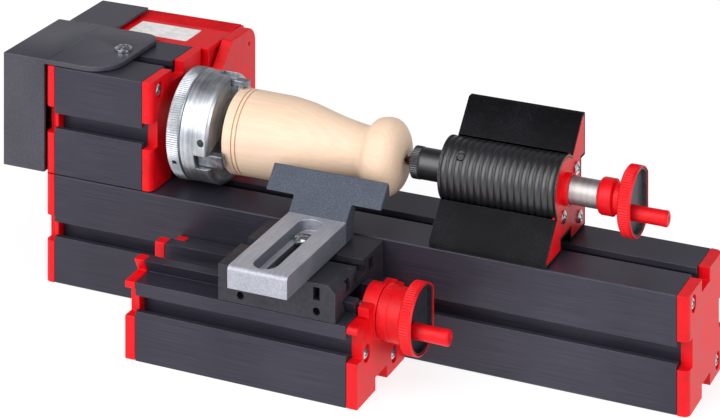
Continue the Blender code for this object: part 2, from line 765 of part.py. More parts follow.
def build_tailstock(carrier):
    mesh = prism("tailstock_body", tail_outline(), TAIL_LEFT, TAIL_RIGHT)
    body = place("tailstock_body", mesh, carrier, finish=(BLACK, 0.4, 0.4))
    axis = (AXIS_Y, AXIS_Z + GAP)
    barrel = rods("tail_barrel", [(TAIL_BARREL_LEFT, TAIL_RIGHT, TAIL_BARREL, *axis)], 40)
    combine(body, helper("tail_barrel", barrel, carrier), "UNION")
    step = SLEEVE_LEFT + 0.0470
    profile = [
        (TAIL_BARREL_LEFT - 0.01, SLEEVE_RADIUS + GAP),
        (step, SLEEVE_RADIUS + GAP),
        (step, QUILL_RADIUS + GAP),
        (TAIL_RIGHT + 0.01, QUILL_RADIUS + GAP),
    ]
    tool = helper("tail_bore", turned("tail_bore", profile), carrier, (0, *axis))
    combine(body, tool)
    floor = TAIL_RIGHT - END_PLATE - GAP
    pocket = prism("plate_pocket", tail_outline(TAIL_WALL), floor, TAIL_RIGHT + 0.01)
    combine(body, helper("plate_pocket", pocket, carrier))
    reach = TAIL_BARREL - TAIL_WALL
    pocket = rods("barrel_pocket", [(floor, TAIL_RIGHT + 0.01, reach, *axis)], 40)
    combine(body, helper("barrel_pocket", pocket, carrier))
    rows = [(floor - 0.010, floor + 0.01, SCREW_SHANK + GAP, *at) for at in PLATE_SCREWS]
    combine(body, helper("tail_taps", rods("tail_taps", rows, 12), carrier))
    tool = helper("grub_hole", upright("grub_hole", [(0.0080, 0.0019), (0.02, 0.0019)]), carrier)
    tool.location = (GRUB_X, *axis)
    tool.rotation_euler.x = math.radians(GRUB_LEAN)
    combine(body, tool)

    left = TAIL_RIGHT - END_PLATE
    mesh = prism("tailstock_end_plate", tail_outline(TAIL_WALL + GAP), left, TAIL_RIGHT)
    plate = place("tailstock_end_plate", mesh, carrier, finish=(RED, 0.35, 0.0))
    rim = rods("plate_rim", [(left, TAIL_RIGHT, reach - GAP, *axis)], 36)
    combine(plate, helper("plate_rim", rim, carrier), "UNION")
    boss = rods("plate_boss", [(left, TAIL_RIGHT + 0.0030, 0.0066 + GAP, *axis)], 24)
    combine(plate, helper("plate_boss", boss, carrier), "UNION")
    rows = [(left - 0.01, left + 0.02, QUILL_RADIUS + GAP, *axis)]
    combine(plate, helper("plate_bore", rods("plate_bore", rows, 28), carrier))
    rows = [(left - 0.01, left + 0.02, SCREW_SHANK + GAP, *at) for at in PLATE_SCREWS]
    combine(plate, helper("plate_holes", rods("plate_holes", rows), carrier))
    for number, at in enumerate(PLATE_SCREWS, 1):
        outer = TAIL_RIGHT + SCREW_HEAD_HIGH + GAP / 3
        cap_screw(f"end_plate_screw_{number}", outer, *at, carrier)

    mesh = upright("tailstock_grub_screw", [(0.0085, 0.0015), (0.0134, 0.0015)])
    grub = place("tailstock_grub_screw", mesh, carrier, finish=(STEEL, 0.3, 1.0))
    grub.location = (GRUB_X, *axis)
    grub.rotation_euler.x = math.radians(GRUB_LEAN)
    place_at = (HALF, PROFILE + GAP / 2)
    slot_key("tailstock_key", 0.196, 0.236, GAP, place_at, False, carrier, channel=True)


def build_quill(axis):
    """The quill, on an empty at the tailstock's centre line."""
    shoulder = SLEEVE_LEFT + 0.0330
    profile = [
        (shoulder, QUILL_RADIUS),
        (QUILL_RIGHT, QUILL_RADIUS),
        (QUILL_RIGHT, SHAFT_RADIUS),
        (TAIL_WHEEL_X + WHEEL_WIDTH - WHEEL_RECESS - GAP, SHAFT_RADIUS),
    ]
    mesh = turned("tail_spindle", profile)
    place("tail_spindle", mesh, axis, finish=(STEEL, 0.3, 1.0), smooth=True)
    profile = [
        (SLEEVE_LEFT, 0.0026),
        (SLEEVE_LEFT, 0.0062),
        (SLEEVE_LEFT + 0.0006, 0.0070),
        (SLEEVE_LEFT + 0.0043, 0.0070),
        (SLEEVE_LEFT + 0.0047, SLEEVE_RADIUS),
        (shoulder - GAP, SLEEVE_RADIUS),
        (shoulder - GAP, 0.0026),
    ]
    mesh = turned("center_sleeve", profile, ring=True)
    place("center_sleeve", mesh, axis, finish=(BLACK, 0.35, 0.5), smooth=True)
    slope = math.tan(math.radians(30))
    wide = 0.0023
    profile = [
        (TIP_LEFT, 0),
        (TIP_LEFT + wide / slope, wide),
        (TIP_LEFT + 0.0200, wide),
    ]
    mesh = turned("center_tip", profile, 16)
    place("center_tip", mesh, axis, finish=(STEEL, 0.35, 1.0), smooth=True)


def wheel_profile(neck):
    """A handwheel from its neck to its face, with X measured from its rim."""
    face = WHEEL_WIDTH
    rim = [
        (0, WHEEL_RADIUS),
        (face - 0.0003, WHEEL_RADIUS),
        (face, WHEEL_RADIUS - 0.0003),
        (face, WHEEL_BORE),
    ]
    return [(neck[0][0], WHEEL_BORE), *neck, *rim]


def cut_circle(radius, flat, steps=30):
    """A (y, z) circle whose side beyond y = flat is cut off straight."""
    corner = math.degrees(math.acos(flat / radius))
    return arc((0, 0), radius, corner, 360 - corner, steps)


def build_handwheel(prefix, wheel_name, neck, rim_x, angle, axis):
    """The wheel, the cup that lines its recess and the crank peg, at one angle."""
    shank_at = (PEG_OFFSET * math.cos(angle), PEG_OFFSET * math.sin(angle))
    mesh = turned(wheel_name, wheel_profile(neck), 36, ring=True)
    wheel = place(wheel_name, mesh, axis, (rim_x, 0, 0), (RED, 0.35, 0.0), smooth=True)
    span = ((-0.001, WHEEL_FLAT, -WHEEL_RADIUS - 0.001), (0.02, 0.03, WHEEL_RADIUS + 0.001))
    tool = helper(prefix + "_wheel_flat", boxes(prefix + "_wheel_flat", [span]), axis, (rim_x, 0, 0))
    combine(wheel, tool)
    outline = cut_circle(WHEEL_RADIUS - WHEEL_RIM, WHEEL_FLAT - WHEEL_RIM)
    mesh = prism(prefix + "_recess", outline, WHEEL_WIDTH - WHEEL_RECESS, WHEEL_WIDTH + 0.01)
    combine(wheel, helper(prefix + "_recess", mesh, axis, (rim_x, 0, 0)))
    hole = [(0.0006, WHEEL_WIDTH + 0.01, PEG_SHANK + GAP, *shank_at)]
    tool = rods(prefix + "_shank_hole", hole)
    combine(wheel, helper(prefix + "_shank_hole", tool, axis, (rim_x, 0, 0)))

    name = prefix + "_wheel_disc"
    low = WHEEL_WIDTH - WHEEL_RECESS + GAP
    flat = WHEEL_FLAT - WHEEL_RIM - GAP
    mesh = prism(name, cut_circle(CUP_RADIUS, flat), low, WHEEL_WIDTH - GAP)
    disc = place(name, mesh, axis, (rim_x, 0, 0), (GREY, 0.45, 0.3), smooth=True)
    outline = cut_circle(CUP_RADIUS - CUP_WALL, flat - CUP_WALL)
    mesh = prism(prefix + "_cup_room", outline, low + CUP_FLOOR, WHEEL_WIDTH + 0.01)
    combine(disc, helper(prefix + "_cup_room", mesh, axis, (rim_x, 0, 0)))
    tool = rods(prefix + "_disc_hole", hole)
    combine(disc, helper(prefix + "_disc_hole", tool, axis, (rim_x, 0, 0)))

    name = prefix + "_crank_peg"
    start = low + CUP_FLOOR + GAP
    end = WHEEL_WIDTH + PEG_REACH
    profile = [
        (0.0009, PEG_SHANK),
        (start, PEG_SHANK),
        (start, PEG_RADIUS),
        (end - 0.0006, PEG_RADIUS),
        (end, PEG_RADIUS - 0.0008),
    ]
    place(name, turned(name, profile, 20), axis, (rim_x, *shank_at), (RED, 0.35, 0.0), smooth=True)


def slide_outline(slots):
    """Section of the slide about its middle: T-slots, two dovetail rails and a channel."""
    upper = [
        (HALF, SLIDE_HIGH),
        (BACK_RAIL_ROOT, SLIDE_HIGH + 0.0005),
        (BACK_RAIL_TIP, RAIL_TOP),
        (BACK_RAIL_INNER, RAIL_TOP),
        (BACK_RAIL_INNER, RAIL_UNDER),
        (CHANNEL_BACK, RAIL_UNDER),
        (CHANNEL_BACK, CHANNEL_FLOOR),
        (-RAIL_INNER, CHANNEL_FLOOR),
        (-RAIL_INNER, RAIL_TOP),
        (-RAIL_TIP, RAIL_TOP),
        (-RAIL_ROOT, SLIDE_HIGH + 0.0005),
        (-HALF, SLIDE_HIGH),
    ]
    if not slots:
        return [(-HALF, 0), (HALF, 0), *upper]
    centre = (0, HALF)
    front = turned_points(slot_points(), 3, centre, HALF)
    back = turned_points(slot_points(), 1, centre, HALF)
    under = turned_points(slot_points(), 2, centre, HALF)
    return [(-HALF, 0), *reversed(under), (HALF, 0), *reversed(back), *upper, *reversed(front)]


def slide_notches(x):
    near, far = x - 0.01, x + 0.01
    wide = NOTCH_WIDTH / 2
    deep = HALF - NOTCH_DEPTH
    out = HALF + 0.005
    return [
        ((near, -out, HALF - wide), (far, -deep, HALF + wide)),
        ((near, deep, HALF - wide), (far, out, HALF + wide)),
        ((near, -wide, -0.005), (far, wide, NOTCH_DEPTH)),
    ]


SLIDE_SCREWS = ((-0.0150, 0.0197), (0.0140, 0.0069))


def build_slide(carrier):
    """The fixed pieces of the slide. The parent is on the slide's middle plane."""
    mesh = prism("slide_profile", slide_outline(True), SLIDE_LEFT, SLIDE_LEFT + SLIDE_LENGTH)
    profile = place("slide_profile", mesh, carrier, finish=(BLACK, 0.4, 0.6))
    right = SLIDE_LEFT + SLIDE_LENGTH
    rows = [(right - 0.012, right + 0.01, CHANNEL_RADIUS, *at) for at in SLIDE_SCREWS]
    combine(profile, helper("slide_taps", rods("slide_taps", rows, 12), carrier))

    inner = SLIDE_LEFT - GAP
    mesh = prism("slide_cap_left", slide_outline(False), inner - CAP_THICKNESS, inner)
    left_cap = place("slide_cap_left", mesh, carrier, finish=(RED, 0.35, 0.0))
    tool = helper("left_notches", boxes("left_notches", slide_notches(inner)), carrier)
    combine(left_cap, tool)

    inner = right + GAP
    outer = inner + CAP_THICKNESS
    turn = 0.0020
    outline = [
        (-HALF, 0),
        (HALF, 0),
        *arc((HALF - turn, SLIDE_HIGH - turn), turn, 0, 90, 4),
        *arc((turn - HALF, SLIDE_HIGH - turn), turn, 90, 180, 4),
    ]
    mesh = prism("slide_cap_right", outline, inner, outer)
    cap = place("slide_cap_right", mesh, carrier, finish=(RED, 0.35, 0.0))
    tool = helper("right_notches", boxes("right_notches", slide_notches(inner)), carrier)
    combine(cap, tool)
    hub = rods("cap_hub", [(inner, RING_FROM - GAP, HUB_RADIUS, 0, SLIDE_AXIS_Z)], 32)
    combine(cap, helper("cap_hub", hub, carrier), "UNION")
    lug_low, lug_high = 0.0095, 0.0155
    lugs = boxes(
        "cap_lugs",
        [
            ((inner + 0.0010, -lug_high, 0.0345), (outer + 0.0010, -lug_low, 0.0385)),
            ((inner + 0.0010, lug_low, 0.0345), (outer + 0.0010, lug_high, 0.0385)),
        ],
    )
    combine(cap, helper("cap_lugs", lugs, carrier), "UNION")
    rows = [(inner - 0.01, outer + 0.01, SHAFT_RADIUS + GAP, 0, SLIDE_AXIS_Z)]
    combine(cap, helper("cap_bore", rods("cap_bore", rows, 20), carrier))
    rows = [(inner - 0.01, outer + 0.01, SCREW_SHANK + GAP, *at) for at in SLIDE_SCREWS]
    combine(cap, helper("cap_holes", rods("cap_holes", rows), carrier))
    seat = outer - SCREW_HEAD_HIGH - GAP
    cut_seats(cap, "cap", seat, outer + 0.01, SLIDE_SCREWS, carrier)
    for number, at in enumerate(SLIDE_SCREWS, 1):
        cap_screw(f"slide_cap_screw_{number}", outer, *at, carrier)
    centre = (-SLIDE_Y - SLIDE_STANDOFF / 2, HALF)
    slot_key("slide_key", 0.100, 0.140, SLIDE_STANDOFF, centre, True, carrier)


def build_leadscrew(axis):
    """The leadscrew with its scale ring and handwheel, on an empty at its line."""
    journal = SLIDE_LEFT + SLIDE_LENGTH - 0.0010
    profile = [
        (SLIDE_LEFT + 0.0030, LEADSCREW_RADIUS - 0.0006),
        (SLIDE_LEFT + 0.0036, LEADSCREW_RADIUS),
        (journal, LEADSCREW_RADIUS),
        (journal, SHAFT_RADIUS),
        (SLIDE_WHEEL_X + WHEEL_WIDTH - WHEEL_RECESS - GAP, SHAFT_RADIUS),
    ]
    mesh = turned("leadscrew", profile, 20)
    place("leadscrew", mesh, axis, finish=(STEEL, 0.3, 1.0), smooth=True)
    low, high = RING_FROM, RING_TO
    mesh = tube("slide_scale_ring", low, high, HUB_RADIUS, SHAFT_RADIUS + GAP, 32)
    place("slide_scale_ring", mesh, axis, finish=(RED, 0.35, 0.0), smooth=True)
    start = RING_TO + GAP - SLIDE_WHEEL_X
    neck = [(start, 0.0092), (0, 0.0092)]
    turn = math.radians(PEG_ANGLE)
    build_handwheel("slide", "slide_handwheel", neck, SLIDE_WHEEL_X, turn, axis)


def carriage_outline():
    """Section of the carriage: T-slot above, dovetail groove below."""
    top, floor = CARRIAGE_TOP, SLIDE_HIGH + GAP
    web = RAIL_TOP + GAP
    slot = [(a, top + b) for a, b in slot_points()]
    deep = top - (top - web) + 0.0022
    slot = [(a, max(b, deep)) for a, b in slot]
    tip, root = RAIL_TIP + 0.00045, RAIL_ROOT + 0.00045
    back_tip, back_root = BACK_RAIL_TIP + 0.00045, BACK_RAIL_ROOT + 0.00045
    return [
        (-HALF, floor),
        (-HALF, top),
        *slot,
        (HALF, top),
        (HALF, floor),
        (back_root, floor + 0.0004),
        (back_tip, web),
        (-tip, web),
        (-root, floor + 0.0004),
    ]


def build_carriage(carrier):
    mesh = prism("carriage", carriage_outline(), CARRIAGE_LEFT, CARRIAGE_RIGHT)
    body = place("carriage", mesh, carrier, finish=(GREY, 0.5, 0.2))
    for number, x in enumerate((0.1226, 0.1584), 1):
        name = f"carriage_hole_{number}"
        mesh = rods(name, [(-HALF - 0.01, 0.0060 - HALF, 0.0017, 0, 0)], 20)
        mesh.transform(Matrix.Rotation(math.pi / 2, 4, "Z"))
        combine(body, helper(name, mesh, carrier, (x, 0, 0.0378)))
    window = [((0.1568, -HALF - 0.01, 0.0425), (0.1600, 0.0060 - HALF, 0.0480))]
    combine(body, helper("carriage_window", boxes("carriage_window", window), carrier))
    chamfer = 0.0032
    corner = [
        (CARRIAGE_RIGHT + 0.001, CARRIAGE_TOP - chamfer - 0.001),
        (CARRIAGE_RIGHT + 0.001, CARRIAGE_TOP + 0.001),
        (CARRIAGE_RIGHT - chamfer - 0.001, CARRIAGE_TOP + 0.001),
    ]
    mesh = prism("carriage_chamfer", corner, -HALF - 0.01, -SLOT_CAVITY - 0.0005, "Y")
    combine(body, helper("carriage_chamfer", mesh, carrier))
    rows = []
    for low, high in ((-0.0140, -0.0095), (0.0095, 0.0140)):
        rows.append(((CARRIAGE_RIGHT - 0.0060, low, 0.0425), (CARRIAGE_RIGHT + 0.01, high, 0.0475)))
    combine(body, helper("carriage_pockets", boxes("carriage_pockets", rows), carrier))

    middle = (CARRIAGE_LEFT + CARRIAGE_RIGHT) / 2
    floor, front = CHANNEL_FLOOR + 0.0004, GAP - RAIL_INNER
    outline = [
        (front, floor),
        (CHANNEL_BACK - GAP, floor),
        (CHANNEL_BACK - GAP, RAIL_UNDER - GAP),
        (BACK_RAIL_INNER - GAP, RAIL_UNDER - GAP),
        (BACK_RAIL_INNER - GAP, RAIL_TOP),
        (front, RAIL_TOP),
    ]
    mesh = prism("leadscrew_nut", outline, middle - 0.006, middle + 0.006)
    nut = place("leadscrew_nut", mesh, carrier, finish=(GREY, 0.5, 0.0))
    rows = [(middle - 0.02, middle + 0.02, LEADSCREW_RADIUS + GAP, 0, SLIDE_AXIS_Z)]
    combine(nut, helper("nut_bore", rods("nut_bore", rows, 20), carrier))


def build_clamp(nut_axis, screw_axis):
    """Nut in the carriage's slot, and the slotted screw that clamps the tool rest."""
    top = CARRIAGE_TOP - SLOT_LIP - GAP
    half = SLOT_CAVITY - GAP
    low = (-half, -half, top - 0.0030)
    high = (half, half, top)
    nut = place("rest_clamp_nut", boxes("rest_clamp_nut", [(low, high)]), nut_axis)
    nut.data.materials.append(material("rest_clamp_nut", STEEL, 0.4, 1.0))
    tool = upright("clamp_nut_hole", [(0, 0.0023), (0.02, 0.0023)])
    combine(nut, helper("clamp_nut_hole", tool, nut_axis, (0, 0, top - 0.01)))
    ledge = REST_BASE + 0.0044
    profile = [
        (top - 0.0028, 0.0020),
        (ledge + 0.0001, 0.0020),
        (ledge + 0.0001, 0.0044),
        (ledge + 0.0020, 0.0044),
        (ledge + 0.0029, 0.0036),
    ]
    mesh = upright("rest_clamp_screw", profile, 20)
    place("rest_clamp_screw", mesh, screw_axis, finish=(CHROME, 0.2, 1.0), smooth=True)


def stadium(low, high, radius, steps=7):
    """A long round-ended hole along Y, about x = 0."""
    return arc((0, high), radius, 0, 180, steps) + arc((0, low), radius, 180, 360, steps)


def build_tool_rest(axis):
    """A slotted bar with a leaning neck and a wide blade, all one casting.

    The parent stands on the clamp screw's line, so Y is measured from there.
    """
    front = REST_FRONT - SLIDE_Y
    top = REST_BASE + REST_HIGH
    bend = -0.0122 - SLIDE_Y
    rise = 0.0056
    blade_rise = 0.0088
    low_blade = (bend + rise, top + rise)
    high_blade = (low_blade[0] + blade_rise, low_blade[1] + blade_rise)
    tip_back = (high_blade[0] + 0.0015, high_blade[1] - 0.0019)
    blade = [
        low_blade,
        high_blade,
        tip_back,
        (tip_back[0], tip_back[1] - 0.0053),
        (low_blade[0] + 0.0016, low_blade[1] - 0.0008),
    ]
    bar = [
        (bend + 0.0104, top + 0.0026),
        (bend + 0.0082, REST_BASE + 0.0072),
        (bend + 0.0082, REST_BASE),
        (front, REST_BASE),
        *arc((front + 0.0020, top - 0.0020), 0.0020, 180, 90, 5),
        (bend, top),
    ]
    shape = bmesh.new()

    def station(x, points):
        return [shape.verts.new((x, y, z)) for y, z in points]

    def bridge(a, b, closed):
        count = len(a) if closed else len(a) - 1
        for k in range(count):
            n = (k + 1) % len(a)
            shape.faces.new((a[k], a[n], b[n], b[k]))

    left_tip, right_tip = station(-BLADE_HALF, blade), station(BLADE_HALF, blade)
    left, right = station(-REST_HALF, blade), station(REST_HALF, blade)
    left_bar, right_bar = station(-REST_HALF, bar), station(REST_HALF, bar)
    shape.faces.new(left_tip)
    shape.faces.new(right_tip)
    bridge(left_tip, left, True)
    bridge(right, right_tip, True)
    bridge(left, right, False)
    bridge([left[-1], *left_bar, left[0]], [right[-1], *right_bar, right[0]], False)
    shape.faces.new([left[-1], *left_bar, left[0]])
    shape.faces.new([right[-1], *right_bar, right[0]])
    mesh = finished(shape, "tool_rest")
    rest = place("tool_rest", mesh, axis, finish=(ZINC, 0.45, 1.0))
    near, far = REST_SLOT_FRONT - SLIDE_Y, REST_SLOT_BACK - SLIDE_Y
    ledge = REST_BASE + 0.0044
    wide = prism("rest_slot", stadium(near, far, 0.0054), ledge, top + 0.01, "Z")
    combine(rest, helper("rest_slot", wide, axis))
    narrow = prism("rest_slit", stadium(near, far, 0.0027), REST_BASE - 0.01, top, "Z")
    combine(rest, helper("rest_slit", narrow, axis))


def main():
    for old in list(bpy.data.objects):
        bpy.data.objects.remove(old, do_unlink=True)
    middle = ((FOOT_LEFT + FOOT_RIGHT) / 2, (FOOT_FRONT + FOOT_BACK) / 2)
    root = empty("lathe", None, (-middle[0], -middle[1], 0))
    build_bed(root)
    build_headstock(root)

    spindle = empty("spindle_line", root, (0, AXIS_Y, AXIS_Z + GAP))
    build_spindle(spindle)
    scroll = empty("scroll_line", spindle)
    jaws = []
    for number, angle in enumerate(JAW_ANGLES, 1):
        jaw = empty(f"jaw_line_{number}", spindle)
        jaw.rotation_euler.x = math.radians(angle)
        jaws.append(jaw)
    build_chuck_parts(scroll, jaws)
    build_belt(root)
    build_guards(root)
    rotor = empty("rotor_line", root, (0, MOTOR_Y, MOTOR_Z + GAP))
    build_motor(root, rotor)

    tailstock = empty("tailstock", root)
    build_tailstock(tailstock)
    quill = empty("quill_line", tailstock, (0, AXIS_Y, AXIS_Z + GAP))
    build_quill(quill)
    crank = empty("tail_wheel_line", quill)
    start = QUILL_RIGHT + GAP - TAIL_WHEEL_X
    neck = [(start, 0.0078), (-0.0048, 0.0078), (-0.0036, 0.0066), (-0.0006, 0.0066)]
    build_handwheel("tail", "tail_handwheel", neck, TAIL_WHEEL_X, math.radians(PEG_ANGLE), crank)

    slide = empty("slide_unit", root, (0, SLIDE_Y, 0))
    build_slide(slide)
    screw_line = empty("leadscrew_line", slide, (0, 0, SLIDE_AXIS_Z))
    build_leadscrew(screw_line)
    carriage = empty("carriage_unit", slide)
    build_carriage(carriage)
    clamp = empty("clamp_line", carriage, (REST_X, 0, 0))
    swivel = empty("swivel_line", clamp)
    build_clamp(clamp, swivel)
    rest = empty("rest_unit", swivel)
    build_tool_rest(rest)


main()
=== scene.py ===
"""Looks of the small wood lathe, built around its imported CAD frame.

Flat CAD pieces keep their shape: a refined copy gets rounded edges, real holes and
recesses. Turned pieces are made again as finer turned meshes on the same axes. All
places come from the frame's boxes, and sizes are in millimetres times MM.
"""

import json
import math

import bmesh
import bpy
from mathutils import Matrix, Vector


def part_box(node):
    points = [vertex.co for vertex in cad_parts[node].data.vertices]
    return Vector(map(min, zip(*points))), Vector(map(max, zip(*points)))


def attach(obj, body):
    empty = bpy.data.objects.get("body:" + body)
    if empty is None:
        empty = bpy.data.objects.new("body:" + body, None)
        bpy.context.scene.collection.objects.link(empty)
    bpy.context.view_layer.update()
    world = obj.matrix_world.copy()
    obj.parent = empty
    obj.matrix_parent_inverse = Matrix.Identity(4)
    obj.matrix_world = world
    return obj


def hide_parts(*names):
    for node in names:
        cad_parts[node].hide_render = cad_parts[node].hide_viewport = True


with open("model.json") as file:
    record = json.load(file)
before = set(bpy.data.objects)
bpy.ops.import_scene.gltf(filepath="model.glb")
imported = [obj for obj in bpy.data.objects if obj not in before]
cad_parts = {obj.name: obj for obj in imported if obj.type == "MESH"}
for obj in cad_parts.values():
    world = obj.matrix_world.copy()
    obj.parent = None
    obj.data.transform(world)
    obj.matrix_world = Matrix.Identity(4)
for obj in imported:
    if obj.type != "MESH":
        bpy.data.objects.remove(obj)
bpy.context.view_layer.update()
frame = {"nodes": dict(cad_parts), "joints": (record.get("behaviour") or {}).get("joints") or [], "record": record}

MM = 0.001
BODY = {n: b for b, members in frame["record"]["behaviour"]["bodies"].items() for n in members}


# ---------------------------------------------------------------- places from the frame


def middle(node):
    low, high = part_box(node)
    return (low + high) / 2


BED_LOW, BED_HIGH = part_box("bed_profile")
SPINDLE = middle("chuck_body")
SPINDLE_LINE = (SPINDLE.y, SPINDLE.z)
SCREW = middle("slide_scale_ring")
SCREW_LINE = (SCREW.y, SCREW.z)
PROFILE = BED_HIGH.z - BED_LOW.z
SLOT_HALF = 6.0 * MM
SLOT_LIP = 2.5 * MM
SLOT_DEEP = 6.5 * MM
MOUTH_HALF = 3.5 * MM
GROOVES = (5.0 * MM, 7.1 * MM)  # scribed lines round the workpiece, from its left end
GROOVE_HALF = 0.38 * MM
GROOVE_FLOOR = 0.12 * MM
GROOVE_DEEP = 0.35 * MM
WHEEL_BORE = 3.3 * MM
REST_BEND = 15.9 * MM  # where the tool rest's flat bar turns up into its neck, from its back


# ---------------------------------------------------------------- shapes


def finished(shape, name):
    bmesh.ops.recalc_face_normals(shape, faces=shape.faces)
    mesh = bpy.data.meshes.new(name)
    shape.to_mesh(mesh)
    shape.free()
    return mesh


def prism(name, outline, low, high, axis="X"):
    """An outline extruded along an axis: (y, z) points along X, or (x, y) points along Z."""
    laid = {"X": lambda a, b, c: (c, a, b), "Z": lambda a, b, c: (a, b, c)}[axis]
    shape = bmesh.new()
    ends = [[shape.verts.new(laid(a, b, c)) for a, b in outline] for c in (low, high)]
    for end in ends:
        shape.faces.new(end)
    for i in range(len(outline)):
        j = (i + 1) % len(outline)
        shape.faces.new((ends[0][i], ends[0][j], ends[1][j], ends[1][i]))
    return finished(shape, name)


def boxes(name, corners):
    """Separate boxes in one mesh, each from its low to its high corner."""
    shape = bmesh.new()
    for low, high in corners:
        size = [b - a for a, b in zip(low, high)]
        centre = [(a + b) / 2 for a, b in zip(low, high)]
        matrix = Matrix.Translation(centre) @ Matrix.Diagonal((*size, 1))
        bmesh.ops.create_cube(shape, size=1, matrix=matrix)
    return finished(shape, name)


def turned(name, profile, segments, ring=False, ripple=None):
    """(x, radius) points revolved about X.

    ripple is (first x, last x, count, depth): between them the radius dips count times.
    """
    shape = bmesh.new()
    turns = [2 * math.pi * k / segments for k in range(segments)]
    first, last, count, depth = ripple or (0, 0, 0, 0)
    loops = []
    for x, r in profile:
        if r == 0:
            loops.append([shape.verts.new((x, 0, 0))])
            continue
        loop = []
        for turn in turns:
            reach = r
            if ripple and first <= x <= last:
                reach -= depth * (0.5 - 0.5 * math.cos(count * turn))
            loop.append(shape.verts.new((x, reach * math.cos(turn), reach * math.sin(turn))))
        loops.append(loop)
    pairs = list(zip(loops, loops[1:]))
    if ring:
        pairs.append((loops[-1], loops[0]))
    for a, b in pairs:
        for k in range(segments):
            n = (k + 1) % segments
            corners = [a[k % len(a)], a[n % len(a)], b[n % len(b)], b[k % len(b)]]
            shape.faces.new(list(dict.fromkeys(corners)))
    if not ring:
        for loop in (loops[0], loops[-1]):
            if len(loop) > 1:
                shape.faces.new(loop)
    return finished(shape, name)


def rod(name, low, high, radius, segments=32, taper=0.0):
    """A round bar along X, its ends chamfered by taper where one is given."""
    profile = [(low, radius), (high, radius)]
    if taper:
        profile = [
            (low, radius - taper),
            (low + taper, radius),
            (high - taper, radius),
            (high, radius - taper),
        ]
    return turned(name, profile, segments)


def arc(centre, radius, start, end, steps):
    """Points on an arc, angles in degrees."""
    angles = [math.radians(start + (end - start) * k / steps) for k in range(steps + 1)]
    return [(centre[0] + radius * math.cos(t), centre[1] + radius * math.sin(t)) for t in angles]


def smooth_line(points, steps):
    """A Catmull-Rom curve through (x, radius) points, in steps between each two."""
    out = []
    for i in range(len(points) - 1):
        before = points[max(i - 1, 0)]
        a, b = points[i], points[i + 1]
        after = points[min(i + 2, len(points) - 1)]
        for k in range(steps):
            t = k / steps
            row = []
            for p0, p1, p2, p3 in zip(before, a, b, after):
                bend = (2 * p0 - 5 * p1 + 4 * p2 - p3) * t * t + (3 * p1 - p0 - 3 * p2 + p3) * t**3
                row.append(0.5 * (2 * p1 + (p2 - p0) * t + bend))
            out.append(tuple(row))
    out.append(points[-1])
    return out


def stand(mesh):
    """Turns a mesh made along X so that it stands along Z."""
    mesh.transform(Matrix.Rotation(-math.pi / 2, 4, "Y"))
    return mesh


def apply_modifiers(piece):
    graph = bpy.context.evaluated_depsgraph_get()
    mesh = bpy.data.meshes.new_from_object(piece.evaluated_get(graph))
    piece.modifiers.clear()
    piece.data = mesh


def cut(piece, tool, place=None):
    """Cuts a tool mesh out of a piece and applies the result."""
    cutter = bpy.data.objects.new(tool.name, tool)
    bpy.context.scene.collection.objects.link(cutter)
    if place is not None:
        cutter.matrix_world = place
    step = piece.modifiers.new("cut", "BOOLEAN")
    step.operation = "DIFFERENCE"
    step.object = cutter
    bpy.context.view_layer.update()
    apply_modifiers(piece)
    bpy.data.objects.remove(cutter, do_unlink=True)


def round_edges(piece, width, segments=2):
    step = piece.modifiers.new("edges", "BEVEL")
    step.width = width * MM
    step.segments = segments
    step.limit_method = "ANGLE"
    step.angle_limit = math.radians(30)
    step.use_clamp_overlap = True


def shade(mesh, angle=32):
    mesh.shade_smooth()
    mesh.set_sharp_from_angle(angle=math.radians(angle))


def put(name, mesh, place=(0, 0, 0)):
    piece = bpy.data.objects.new(name, mesh)
    bpy.context.scene.collection.objects.link(piece)
    piece.location = place
    return piece


def settle(piece, look, like, replaces=(), angle=32):
    """Gives a piece its look, its body and its material slot, those of a CAD node."""
    piece.data.materials.clear()
    piece.data.materials.append(look)
    shade(piece.data, angle)
    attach(piece, BODY[like])
    if replaces:
        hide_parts(*replaces)
    return piece


def refined(node, look, width=0.3, tools=(), segments=3):
    """A copy of a flat-faced CAD node with whole faces, further cuts and rounded edges."""
    shape = bmesh.new()
    shape.from_mesh(frame["nodes"][node].data)
    bmesh.ops.remove_doubles(shape, verts=shape.verts, dist=0.002 * MM)
    edges, verts = shape.edges, shape.verts
    bmesh.ops.dissolve_limit(shape, angle_limit=math.radians(1), verts=verts, edges=edges)
    piece = put(node + "_fine", finished(shape, node + "_fine"))
    for tool in tools:
        cut(piece, tool)
    if width:
        round_edges(piece, width, segments)
        apply_modifiers(piece)
        normals = piece.modifiers.new("normals", "WEIGHTED_NORMAL")
        normals.keep_sharp = True
    return settle(piece, look, node, (node,), 46)


def painted(node, look):
    """A CAD node that keeps its own mesh and gets a look."""
    piece = frame["nodes"][node]
    piece.data.materials.clear()
    piece.data.materials.append(look)
    shade(piece.data)


# ---------------------------------------------------------------- materials


def srgb(red, green, blue):
    """A display colour, 0 to 255, as linear values."""
    out = []
    for value in (red, green, blue):
        value /= 255
        out.append(value / 12.92 if value <= 0.04045 else ((value + 0.055) / 1.055) ** 2.4)
    return (*out, 1.0)


